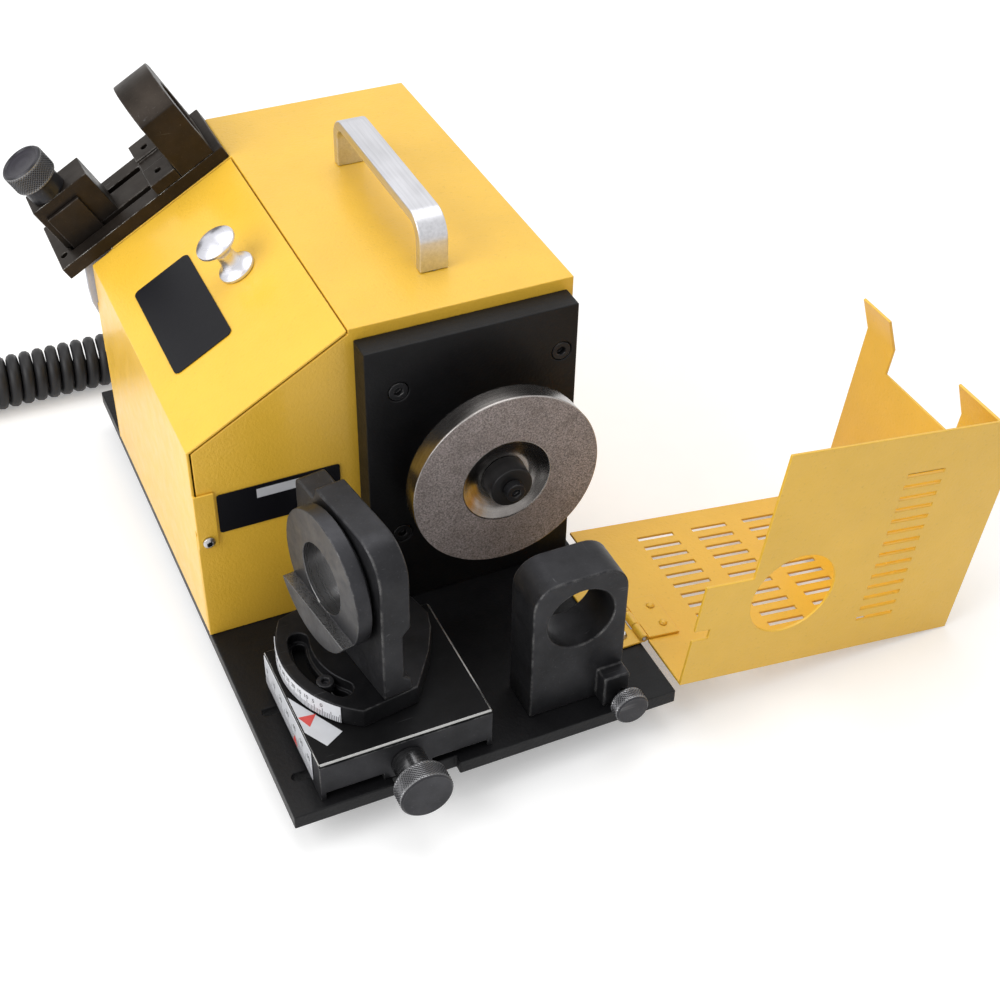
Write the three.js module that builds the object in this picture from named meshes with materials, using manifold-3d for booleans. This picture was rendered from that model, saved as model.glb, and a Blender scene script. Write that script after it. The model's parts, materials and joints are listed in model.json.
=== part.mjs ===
// Bench machine for regrinding screw taps: a grinding wheel on a motor, a swivelling work head on a
// feed slide, a tail ring, a setting fixture on the sloped side and a folding sheet guard.
// Millimetres, +Z up, wheel face towards -Y. The origin lies on the table, under the middle of the
// machine's own extents, without the mains lead.
import * as THREE from "three";
import { mergeVertices } from "three/addons/utils/BufferGeometryUtils.js";
import Module from "manifold-3d";

const wasm = await Module();
wasm.setup();

// Shared clearances
const SEAT = 0.3; // between pieces that touch
const RUN = 0.4; // round a turning or sliding piece
const OVERRUN = 2; // how far a cutting body passes a face

// Base plate and feet, from the plate's front left lower corner
const BASE_WIDTH = 200;
const BASE_DEPTH = 357.7;
const BASE_THICKNESS = 8;
const BASE_SLOT_LENGTH = 10.5;
const BASE_SLOT_WIDTH = 4.6;
const BASE_SLOT_X = 12.2;
const BASE_SLOT_FRONT_Y = 23;
const BASE_SLOT_PITCH = 44.5;
const BASE_NOTCH_OFFSET = 35.1; // from the slide's left side
const BASE_NOTCH_WIDTH = 33;
const BASE_NOTCH_DEPTH = 4.5;
const FOOT_HEIGHT = 16;
const FOOT_RADIUS = 15;
const FOOT_TOP_RADIUS = 12.5;
const FOOT_INSET = 32;

// Sheet-metal housing
const SHEET = 1.5;
const HOUSING_LEFT = -0.6;
const HOUSING_RIGHT_INSET = 0.8; // from the base plate's right edge
const HOUSING_FRONT = 129.3;
const HOUSING_BACK = 354.7;
const HOUSING_TOP = 175;
const FOLD_Z = 127.5; // where the slope meets the left wall
const SLOPE_TOP_SHARE = 0.41; // where the slope meets the top, of the base plate's width
const COVER_BACK = 308.6;
const COVER_GAP = 0.8;
const REAR_LEFT_X = 12;
const NOTCH_LOW_Z = 75;
const NOTCH_HIGH_Z = 78;
const TOP_LIP = 14;

// Side cover, its pull knob and its two pivot screws
const COVER_FOOT_GAP = 1;
const TAB_RIGHT_X = 9.8;
const TAB_LOW_Z = 68;
const TAB_HIGH_Z = 101;
const TAB_THICKNESS = 1.2;
const PIVOT_X = 4.6;
const PIVOT_Z = 71.9;
const PIVOT_SHANK_RADIUS = 1.6;
const PIVOT_HEAD_RADIUS = 3.1;
const PIVOT_HEAD_HEIGHT = 2.1;
const PIVOT_LENGTH = 9;
const PULL_S = 65.8; // along the slope from the fold
const PULL_Y = 221.6;
const PULL_HEIGHT = 25;
const PULL_RADIUS = 11;
const PULL_SHARES = [
  [0.9, 0],
  [0.9, 0.09],
  [0.72, 0.2],
  [0.42, 0.36],
  [0.42, 0.55],
  [0.7, 0.68],
  [1, 0.8],
  [0.97, 0.86],
  [0.6, 0.97],
  [0, 1],
]; // of its radius and height
const PULL_STUD_RADIUS = 2;
const PULL_STUD_LENGTH = 6;

// Bare label foils
const FOIL = 0.4;
const SLOPE_LABEL_S = 12.4;
const SLOPE_LABEL_WIDTH = 35.1;
const SLOPE_LABEL_Y = 182;
const SLOPE_LABEL_LENGTH = 78.2;
const LABEL_CORNER = 3;
const FRONT_LABEL_X = 11;
const FRONT_LABEL_GAP = 10.1; // from the front plate's left edge
const FRONT_LABEL_Z = 74.6;
const FRONT_LABEL_HEIGHT = 23.6;

// Front plate and its four screws, set round the wheel's axis
const PLATE_LEFT_SHARE = 0.4205; // of the base plate's width
const PLATE_RIGHT_INSET = 4.5; // from the base plate's right edge
const PLATE_FRONT = 115.1;
const PLATE_TOP = 168.9;
const AXIS_SHARE = 0.72; // of the base plate's width
const AXIS_Z = 98.5;
const PLATE_SCREW_INSET = 8.5; // in from the front plate's right edge
const PLATE_SCREW_Z = 44.5;
const PLATE_SCREW_HEAD_RADIUS = 5;
const PLATE_SCREW_HEAD_HEIGHT = 6;
const PLATE_SCREW_SHANK_RADIUS = 3;
const PLATE_SCREW_LENGTH = 18;
const PLATE_SCREW_SINK = 6.6;
const HEX_SHARE = 0.5; // of a screw head's radius

// Motor, bearings and spindle
const MOTOR_RADIUS = 45;
const MOTOR_WALL = 4;
const MOTOR_LENGTH = 122;
const MOTOR_FLANGE_EDGE = 7; // past the axes of the plate's screws
const MOTOR_BELL = 10;
const MOTOR_END = 13;
const SPIGOT_RADIUS = 20;
const SPIGOT_LENGTH = 12;
const VENT_RADIUS = 3.2;
const VENT_CIRCLE_RADIUS = 33;
const VENT_COUNT = 8;
const BEARING_RADIUS = 16;
const BEARING_WIDTH = 9;
const STATOR_LENGTH = 62;
const STATOR_BORE_RADIUS = 27;
const ROTOR_RADIUS = 26;
const SHAFT_RADIUS = 7.5;
const COLLAR_RADIUS = 15;
const COLLAR_WIDTH = 6;
const NOSE_RADIUS = 7;
const NOSE_LENGTH = 7.4;

// Grinding wheel and its fastening
const WHEEL_RADIUS = 49.3;
const WHEEL_BACK_RADIUS = 48.5;
const WHEEL_FACE_Y = 83.5;
const WHEEL_THICKNESS = 11.7;
const WHEEL_DISH_RADIUS = 23.3;
const WHEEL_DISH_DEPTH = 4.5;
const WHEEL_HUB_RADIUS = 13.5;
const HUB_RADIUS = 11.6;
const HUB_NOSE_RADIUS = 10.9;
const HUB_LENGTH = 10;
const HUB_NOSE_SHARE = 0.45; // of its length
const HUB_CONE_SHARE = 0.7;
const WHEEL_BOLT_HEAD_RADIUS = 5;
const WHEEL_BOLT_HEAD_HEIGHT = 4.4;
const WHEEL_BOLT_SHANK_RADIUS = 3;
const WHEEL_BOLT_LENGTH = 20;

// Carry handle, a flat bar bent twice
const HANDLE_OFFSET = 13; // its left edge from the wheel's axis
const HANDLE_WIDTH = 15;
const HANDLE_THICKNESS = 5.6;
const HANDLE_FRONT_Y = 160;
const HANDLE_BACK_Y = 281;
const HANDLE_HEIGHT = 29;
const HANDLE_BEND_RADIUS = 13;
const HANDLE_SCREW_RADIUS = 1.9;
const HANDLE_SCREW_HEAD_RADIUS = 3.5;
const HANDLE_SCREW_HEAD_HEIGHT = 2.5;
const HANDLE_SCREW_LENGTH = 11;

// Feed slide: fixed rail, sliding block with its thin top plate, feed screw and knob
const RAIL_WIDTH = 24.6;
const RAIL_TOP_Z = 24;
const RAIL_FRONT_Y = 36;
const RAIL_LENGTH = 62;
const SLIDE_LEFT_SHARE = 0.0745; // of the base plate's width
const SLIDE_RIGHT_SHARE = 0.5085;
const SLIDE_FRONT = 4.5;
const SLIDE_BACK = 84.1;
const SLIDE_TOP_Z = 32.3;
const SLIDE_PLATE = 2;
const SLIDE_FOOT_WIDTH = 2.6;
const SLIDE_UNDERCUT_Z = 12.4;
const SLIDE_FRONT_WALL = 10;
const FEED_Z = 17;
const FEED_SCREW_RADIUS = 3.6;
const FEED_COLLAR_RADIUS = 8.6;
const FEED_COLLAR_LENGTH = 13;
const FEED_KNOB_RADIUS = 13.5;
const FEED_KNOB_LENGTH = 11;
const FEED_KNOB_BEVEL = 0.8;
const FEED_REACH = 60;

// Work head: swivel sector, arch block and index ring, turned about the pivot
const SWIVEL_INSET = 30.5; // from the slide's right edge
const SWIVEL_Y = 63.2;
const SWIVEL_TURN = THREE.MathUtils.degToRad(8.5);
const SECTOR_THICKNESS = 11;
const SECTOR_RADIUS = 53.5;
const SECTOR_FLAT = 40.3; // from the pivot to the front flat
const SECTOR_RIGHT_SHARES = [
  [-0.15, -1],
  [0.03, -0.81],
  [0.27, -0.55],
  [0.49, -0.23],
  [0.59, 0.01],
  [0.56, 0.35],
  [0.4, 0.62],
  [0.1, 0.85],
  [-0.5, 0.95],
]; // of the front flat's distance
const SECTOR_SLOT_RADIUS = 42.9;
const SECTOR_SLOT_WIDTH = 10;
const SECTOR_SLOT_STEP_WIDTH = 6.4;
const SECTOR_SLOT_STEP = 5;
const SECTOR_SLOT_FROM = THREE.MathUtils.degToRad(157);
const SECTOR_SLOT_TO = THREE.MathUtils.degToRad(212);
const SECTOR_BACK = THREE.MathUtils.degToRad(140);
const CLAMP_ANGLE = THREE.MathUtils.degToRad(198);
const CLAMP_HEAD_RADIUS = 4.2;
const CLAMP_HEAD_HEIGHT = 5;
const CLAMP_SHANK_RADIUS = 2.5;
const CLAMP_LENGTH = 9;
const PIVOT_BOLT_RADIUS = 5;
const ARCH_LEFT = -24;
const ARCH_THICKNESS = 15;
const ARCH_FRONT = -40.3;
const ARCH_BACK = 39;
const ARCH_TOP_Z = 130.8;
const ARCH_STEP_Z = 123.2; // the lower top behind
const ARCH_STEP_V = 18; // where it steps down, back from the pivot
const ARCH_STEP_RUN = 3;
const ARCH_NOSE_RADIUS = 19;
const ARCH_HEEL_RADIUS = 3;
const ARCH_HOLLOW_DEPTH = 4; // milled along its right face above the foot
const ARCH_HOLLOW_LOW_Z = 54;
const ARCH_HOLLOW_HIGH_Z = 80;
const ARCH_HOLLOW_SLANT = 6;
const RING_Z = 96.6;
const RING_V = -2.8; // its axis, back from the pivot
const RING_RADIUS = 34.3;
const RING_BORE_RADIUS = 17.8;
const RING_THICKNESS = 7.4;
const RING_COLLAR_RADIUS = 30;
const RING_COLLAR = 2.3;
const RING_HUB_LENGTH = 8;
const RING_HUB_RADIUS = 23;
const LEDGE_DEPTH = 6;
const LEDGE_DROP = 17.8;

// Scale tapes of the work head
const TAPE_FROM = THREE.MathUtils.degToRad(152);
const TAPE_TO = THREE.MathUtils.degToRad(217);
const SIDE_TAPE_Y = 14;
const SIDE_TAPE_LENGTH = 68;
const SIDE_TAPE_LOW_Z = 12.6;
const SIDE_TAPE_HIGH_Z = 32;

// Tail ring and thumbscrew
const TAIL_RIGHT_SHARE = 0.876; // of the base plate's width
const TAIL_WIDTH = 49.8;
const TAIL_FRONT = 12.6;
const TAIL_BACK = 36.7;
const TAIL_TOP_Z = 91.7;
const TAIL_CORNER_RADIUS = 14;
const TAIL_BORE_INSET = 24.3; // from the block's right face
const TAIL_BORE_Z = 65.6;
const TAIL_BORE_RADIUS = 17.5;
const LUG_WIDTH = 13.7;
const LUG_FRONT = 4.5;
const LUG_TOP_Z = 27;
const THUMB_INSET = 4.2; // from the block's right face
const THUMB_Z = 14.4;
const THUMB_RADIUS = 9;
const THUMB_BEVEL = 0.7;
const THUMB_LENGTH = 8.2;
const THUMB_STEM_RADIUS = 2;
const THUMB_STEM_REACH = 12;
const THUMB_FACE_Y = -0.4;

// Folding guard of 1.5 mm sheet, in its own frame: along the flat panel, machine depth, up from it
const GUARD_EDGE_OFFSET = 3.4; // past the base plate's right edge
const GUARD_LENGTH = 168.2;
const GUARD_FRONT = 2.2;
const GUARD_BACK = 126.5;
const GUARD_HEIGHT = 137.4;
const GUARD_LOW_HEIGHT = 63.5;
const GUARD_STEP = 27;
const GUARD_LIFT = 0.2;
const GUARD_PORT_U = 54;
const GUARD_PORT_W = 48.4;
const GUARD_PORT_RADIUS = 24.5;
const GUARD_CATCH_WIDTH = 6;
const GUARD_CATCH_DEPTH = 9;
const LOUVRE_U = 102;
const LOUVRE_LENGTH = 23;
const LOUVRE_W = 20.5;
const LOUVRE_PITCH = 7.1;
const LOUVRE_COUNT = 14;
const LOUVRE_WIDTH = 2.4;
const GRILLE_COLUMNS = [35, 70, 104]; // start of each column of slots along the panel
const GRILLE_LENGTH = 23;
const GRILLE_Y = 111.2;
const GRILLE_PITCH = 8.2;
const GRILLE_COUNT = 12;
const GRILLE_WIDTH = 3;
const ROOF_BACK = 128.6;
const ROOF_FOLD_W = 113;
const ROOF_NOTCH_W = 97.3;
const ROOF_NOTCH_FRONT = 43;
const ROOF_NOTCH_BACK = 104;
const ROOF_LIP = 21.5; // the ears' bent ends
const ROOF_LIP_ANGLE = THREE.MathUtils.degToRad(26.2);

// Guard hinge
const HINGE_OFFSET = 1.5; // past the base plate's right edge
const BARREL_RADIUS = 2.3;
const PIN_RADIUS = 1.2;
const HINGE_Y = 36;
const HINGE_LENGTH = 30;
const LEAF = 1.2;
const BASE_LEAF_LENGTH = 17; // in from the base plate's right edge
const BASE_LEAF_REACH = 68; // back from its front end
const GUARD_LEAF_LENGTH = 18.6;
const RIVET_RADIUS = 2.4;
const RIVET_HEAD = 1.2;
const RIVET_U = 13;
const HINGE_SCREW_INSET = 8;
const HINGE_SCREW_RADIUS = 1.8;
const HINGE_SCREW_HEAD_RADIUS = 3.4;
const HINGE_SCREW_HEAD = 1.8;
const HINGE_SCREW_TOP_SHARE = 0.7; // of its head's radius
const HINGE_HOLE_INSET = 8;

// Setting fixture on the slope: along the slope from the fold, machine depth, out from the slope
const SETTING_FROM = -14.5;
const SETTING_TO = 94;
const SETTING_FRONT = 308.9;
const SETTING_WIDTH = 46.8;
const SETTING_RAIL = 8;
const SETTING_GROOVE_DEPTH = 3.5;
const SETTING_GROOVE_WIDTH = 4.6;
const SETTING_GROOVE_FROM = -5;
const SETTING_GROOVE_TO = 49.5;
const SETTING_HOLE_S = -10;
const SETTING_HOLE_RADIUS = 2;
const STOP_FROM = 51;
const STOP_TO = 67;
const STOP_TOP = 15;
const STOP_CHANNEL_WIDTH = 12;
const STOP_CHANNEL_DEPTH = 1.6;
const STOP_HOLE_OFFSET = 14;
const SETTING_RING_TO = 89;
const SETTING_RING_AXIS = 27.1; // out from the slope
const SETTING_RING_RADIUS = 29.5;
const SETTING_BORE_RADIUS = 17.2;
const SETTING_SLIDE_FROM = -7;
const SETTING_SLIDE_TO = 28.4;
const SETTING_SLIDE_WIDTH = 19.4;
const SETTING_SLIDE_TOP = 37;
const SETTING_PAD_FROM = -3.5;
const SETTING_PAD_TO = 17;
const SETTING_PAD_TOP = 30;
const SETTING_PAD_THICKNESS = 2.4;
const SETTING_KNOB_S = 6;
const SETTING_COLLAR_RADIUS = 10.2;
const SETTING_COLLAR_LENGTH = 9;
const SETTING_KNOB_RADIUS = 12.5;
const SETTING_KNOB_LENGTH = 13.5;
const SETTING_STUD_RADIUS = 3;
const SETTING_STUD_LENGTH = 26;

// Grey gusset under the fixture's overhang
const GUSSET_LEFT = -4;
const GUSSET_LOW_Z = 80;
const GUSSET_SHARES = [
  [0, 0.55],
  [0.06, 0.38],
  [0.22, 0.24],
  [0.5, 0.1],
]; // of its width and height
const GUSSET_THICKNESS = 2;
const GUSSET_GAP = 3.6;

// Power switch on the back wall
const SWITCH_X = 48;
const SWITCH_Z = 70;
const SWITCH_WIDTH = 21;
const SWITCH_HEIGHT = 27;
const SWITCH_RIM = 2.2;
const SWITCH_BODY_INSET = 1.4;
const SWITCH_DEPTH = 16;
const SWITCH_POCKET_SHARE = 0.7; // of its depth
const ROCKER_WIDTH = 13;
const ROCKER_HEIGHT = 18;
const ROCKER_PROUD = 3;
const ROCKER_DEPTH = 6;
const ROCKER_BACK_SHARE = 0.75; // of its height
const ROCKER_DIP_SHARE = 0.5; // of how far it stands out
const ROCKER_TILT = THREE.MathUtils.degToRad(9);

// Mains lead: gland, coiled lead on the table behind the machine, plug
const GLAND_SHARE = 0.75; // of the base plate's width
const GLAND_Z = 24;
const GLAND_RADIUS = 8;
const GLAND_LENGTH = 20;
const GLAND_STEM_RADIUS = 5.6;
const GLAND_COLLAR_SHARE = 0.25; // of its length
const GLAND_TAPER_SHARE = 0.4;
const CABLE_RADIUS = 3.7;
const CURL_RADIUS = 12.8;
const CURL_PITCH = 8;
const CURL_COUNT = 30;
const CURL_STEPS = 8;
const CABLE_LIFT = 0.2; // above the table
const LEAD_BEND = 16;
const LEAD_STEPS = 7;
const COIL_Y = 401;
const COIL_OFFSET = 32; // its start from the gland
const TAIL_LENGTH = 70;
const PLUG_LENGTH = 44;
const PLUG_WIDTH = 34;
const PLUG_HEIGHT = 22;
const PLUG_SHARES = [
  [0, 0.5],
  [0.4, 1],
  [1, 1],
]; // of its length and half its width, back from the neck
const PLUG_NECK_RADIUS = 6.5;
const PLUG_NECK_FLARE_SHARE = 1.4; // of the neck's radius, where it meets the body
const PLUG_NECK_LENGTH = 14;
const PLUG_PIN_RADIUS = 2.4;
const PLUG_PIN_LENGTH = 19;
const PLUG_PIN_SPACING = 19;

// Worked out from the values above
const HOUSING_RIGHT = BASE_WIDTH - HOUSING_RIGHT_INSET;
const SLOPE_TOP_X = BASE_WIDTH * SLOPE_TOP_SHARE;
const PLATE_LEFT = BASE_WIDTH * PLATE_LEFT_SHARE;
const PLATE_RIGHT = BASE_WIDTH - PLATE_RIGHT_INSET;
const AXIS_X = BASE_WIDTH * AXIS_SHARE;
const HANDLE_X = AXIS_X - HANDLE_OFFSET;
const SLIDE_LEFT = BASE_WIDTH * SLIDE_LEFT_SHARE;
const SLIDE_RIGHT = BASE_WIDTH * SLIDE_RIGHT_SHARE;
const RAIL_X = (SLIDE_LEFT + SLIDE_RIGHT - RAIL_WIDTH) / 2;
const SWIVEL_X = SLIDE_RIGHT - SWIVEL_INSET;
const TAIL_RIGHT = BASE_WIDTH * TAIL_RIGHT_SHARE;
const TAIL_LEFT = TAIL_RIGHT - TAIL_WIDTH;
const TAIL_BORE_X = TAIL_RIGHT - TAIL_BORE_INSET;
const THUMB_X = TAIL_RIGHT - THUMB_INSET;
const GUARD_EDGE_X = BASE_WIDTH + GUARD_EDGE_OFFSET;
const GUARD_CATCH_W = GUARD_EDGE_X - THUMB_X;
const HINGE_X = BASE_WIDTH + HINGE_OFFSET;
const HINGE_SCREW_X = BASE_WIDTH - HINGE_SCREW_INSET;
const GLAND_X = BASE_WIDTH * GLAND_SHARE;
const SLOPE = Math.atan2(HOUSING_TOP - FOLD_Z, SLOPE_TOP_X);
const slopeZ = (x, below) => FOLD_Z + x * Math.tan(SLOPE) - below / Math.cos(SLOPE);
const FLOOR = BASE_THICKNESS + SEAT;
const PLATE_BACK = HOUSING_FRONT - SEAT;
const SETTING_MIDDLE = SETTING_FRONT + SETTING_WIDTH / 2;
const HINGE_Z = FLOOR + BARREL_RADIUS;
const GUARD_DROOP = Math.asin((BASE_THICKNESS + FOOT_HEIGHT - GUARD_LIFT) / GUARD_LENGTH);
const screwOut = PLATE_RIGHT - PLATE_SCREW_INSET - AXIS_X;
const PLATE_SCREW_PLACES = [
  [AXIS_X - screwOut, AXIS_Z - PLATE_SCREW_Z],
  [AXIS_X + screwOut, AXIS_Z - PLATE_SCREW_Z],
  [AXIS_X - screwOut, AXIS_Z + PLATE_SCREW_Z],
  [AXIS_X + screwOut, AXIS_Z + PLATE_SCREW_Z],
];

// Solids from three.js geometry
function solidOf(geometry) {
  const g = geometry.index ? geometry.toNonIndexed() : geometry.clone();
  g.deleteAttribute("normal");
  g.deleteAttribute("uv");
  const merged = mergeVertices(g, 1e-4);
  const corners = merged.index.array;
  const faces = [];
  for (let i = 0; i < corners.length; i += 3) {
    const [a, b, c] = corners.slice(i, i + 3);
    if (a !== b && b !== c && c !== a) faces.push(a, b, c);
  }
  return new wasm.Manifold(
    new wasm.Mesh({
      numProp: 3,
      vertProperties: merged.attributes.position.array,
      triVerts: new Uint32Array(faces),
    }),
  );
}
function geometryOf(solid) {
  const mesh = solid.getMesh();
  const g = new THREE.BufferGeometry();
  g.setAttribute("position", new THREE.BufferAttribute(mesh.vertProperties, 3));
  g.setIndex(new THREE.BufferAttribute(mesh.triVerts, 1));
  const flat = g.toNonIndexed();
  flat.computeVertexNormals();
  return flat;
}
const join = (first, ...rest) => rest.reduce((a, b) => a.add(b), first);
const cut = (first, ...rest) => rest.reduce((a, b) => a.subtract(b), first);

// A box between two corners
function block(x0, x1, y0, y1, z0, z1) {
  const g = new THREE.BoxGeometry(x1 - x0, y1 - y0, z1 - z0);
  return solidOf(g.translate((x0 + x1) / 2, (y0 + y1) / 2, (z0 + z1) / 2));
}

// Turns a geometry made along +Z so that it runs along x, y or z
const ALONG = {
  x: new THREE.Matrix4().makeBasis(
    new THREE.Vector3(0, 1, 0),
    new THREE.Vector3(0, 0, 1),
    new THREE.Vector3(1, 0, 0),
  ),
  y: new THREE.Matrix4().makeBasis(
    new THREE.Vector3(1, 0, 0),
    new THREE.Vector3(0, 0, -1),
    new THREE.Vector3(0, 1, 0),
  ),
  z: new THREE.Matrix4(),
};

// A turned piece: closed profile of [radius, height], running along an axis from a point
function turned(profile, along, x, y, z, sides = 40) {
  const points = profile.map(([r, h]) => new THREE.Vector2(r, h));
  if (profile[0][0] > 0) points.push(points[0].clone());
  const g = new THREE.LatheGeometry(points, sides).rotateX(Math.PI / 2);
  return solidOf(g.applyMatrix4(ALONG[along]).translate(x, y, z));
}
function rod(radius, length, along, x, y, z, sides = 32) {
  return turned([[0, 0], [radius, 0], [radius, length], [0, length]], along, x, y, z, sides);
}

// A flat piece cut from an outline, with its thickness along an axis:
// along z the outline is [x, y], along y it is [x, z], along x it is [y, z]
function flat(outline, thickness, along, from, corners = 8) {
  const shape = new THREE.Shape(outline.map(([a, b]) => new THREE.Vector2(a, b)));
  const g = new THREE.ExtrudeGeometry(shape, {
    depth: thickness,
    bevelEnabled: false,
    curveSegments: corners,
  });
  if (along === "y") g.rotateX(Math.PI / 2).translate(0, from + thickness, 0);
  else if (along === "x") g.applyMatrix4(ALONG.x).translate(from, 0, 0);
  else g.translate(0, 0, from);
  return solidOf(g);
}

// Points of an arc, for outlines
function arc(cx, cy, radius, from, to, steps) {
  return Array.from({ length: steps + 1 }, (_, i) => {
    const a = from + ((to - from) * i) / steps;
    return [cx + radius * Math.cos(a), cy + radius * Math.sin(a)];
  });
}

// Socket head screw with its head's top at the point, pointing along +Z
function socketScrew(headRadius, headHeight, shankRadius, length) {
  const body = turned(
    [
      [0, -headHeight - length],
      [shankRadius, -headHeight - length],
      [shankRadius, -headHeight],
      [headRadius, -headHeight],
      [headRadius, 0],
      [0, 0],
    ],
    "z", 0, 0, 0, 20,
  );
  const hex = rod(headRadius * HEX_SHARE, headHeight, "z", 0, 0, -headHeight / 2, 6);
  return cut(body, hex);
}

// Looks
const look = (color, roughness, metalness) =>
  new THREE.MeshStandardMaterial({ color, roughness, metalness });
const YELLOW = look(0xf2c21c, 0.5, 0.0);
const BLACKENED = look(0x2c2c30, 0.45, 0.6);
const BLACK_PAINT = look(0x1d1e21, 0.6, 0.2);
const BRIGHT = look(0xc9c9c6, 0.3, 1.0);
const ALUMINIUM = look(0xbfc1c8, 0.35, 1.0);
const ABRASIVE = look(0xa39c90, 0.7, 0.5);
const RUBBER = look(0x151515, 0.85, 0.0);
const PLASTIC = look(0x18191b, 0.5, 0.0);
const FOIL_BLACK = look(0x101012, 0.4, 0.0);
const FOIL_WHITE = look(0xe8e8ea, 0.5, 0.0);
const GREY_SHEET = look(0xbcc0cc, 0.5, 0.2);
const COPPER = look(0x9a5a34, 0.5, 0.5);

const machine = new THREE.Group();
function piece(name, solid, material, parent = machine) {
  const mesh = new THREE.Mesh(geometryOf(solid), material);
  mesh.name = name;
  parent.add(mesh);
  return mesh;
}

// Base plate and rubber feet
const baseSlot = (y) => {
  const half = (BASE_SLOT_LENGTH - BASE_SLOT_WIDTH) / 2;
  const deep = BASE_THICKNESS + 2 * OVERRUN;
  return join(
    block(
      BASE_SLOT_X - half, BASE_SLOT_X + half,
      y - BASE_SLOT_WIDTH / 2, y + BASE_SLOT_WIDTH / 2, -OVERRUN, BASE_THICKNESS + OVERRUN,
    ),
    rod(BASE_SLOT_WIDTH / 2, deep, "z", BASE_SLOT_X - half, y, -OVERRUN, 16),
    rod(BASE_SLOT_WIDTH / 2, deep, "z", BASE_SLOT_X + half, y, -OVERRUN, 16),
  );
};
const notchLeft = SLIDE_LEFT + BASE_NOTCH_OFFSET;
piece(
  "base_plate",
  cut(
    block(0, BASE_WIDTH, 0, BASE_DEPTH, 0, BASE_THICKNESS),
    baseSlot(BASE_SLOT_FRONT_Y),
    baseSlot(BASE_SLOT_FRONT_Y + BASE_SLOT_PITCH),
    block(
      notchLeft, notchLeft + BASE_NOTCH_WIDTH, -OVERRUN, BASE_NOTCH_DEPTH,
      -OVERRUN, BASE_THICKNESS + OVERRUN,
    ),
  ),
  BLACK_PAINT,
);
for (const [side, x] of [["left", FOOT_INSET], ["right", BASE_WIDTH - FOOT_INSET]])
  for (const [end, y] of [["front", FOOT_INSET], ["rear", BASE_DEPTH - FOOT_INSET]])
    piece(
      "rubber_foot_" + end + "_" + side,
      turned(
        [[0, -FOOT_HEIGHT], [FOOT_RADIUS, -FOOT_HEIGHT], [FOOT_TOP_RADIUS, -SEAT], [0, -SEAT]],
        "z", x, y, 0, 24,
      ),
      RUBBER,
    );

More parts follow.
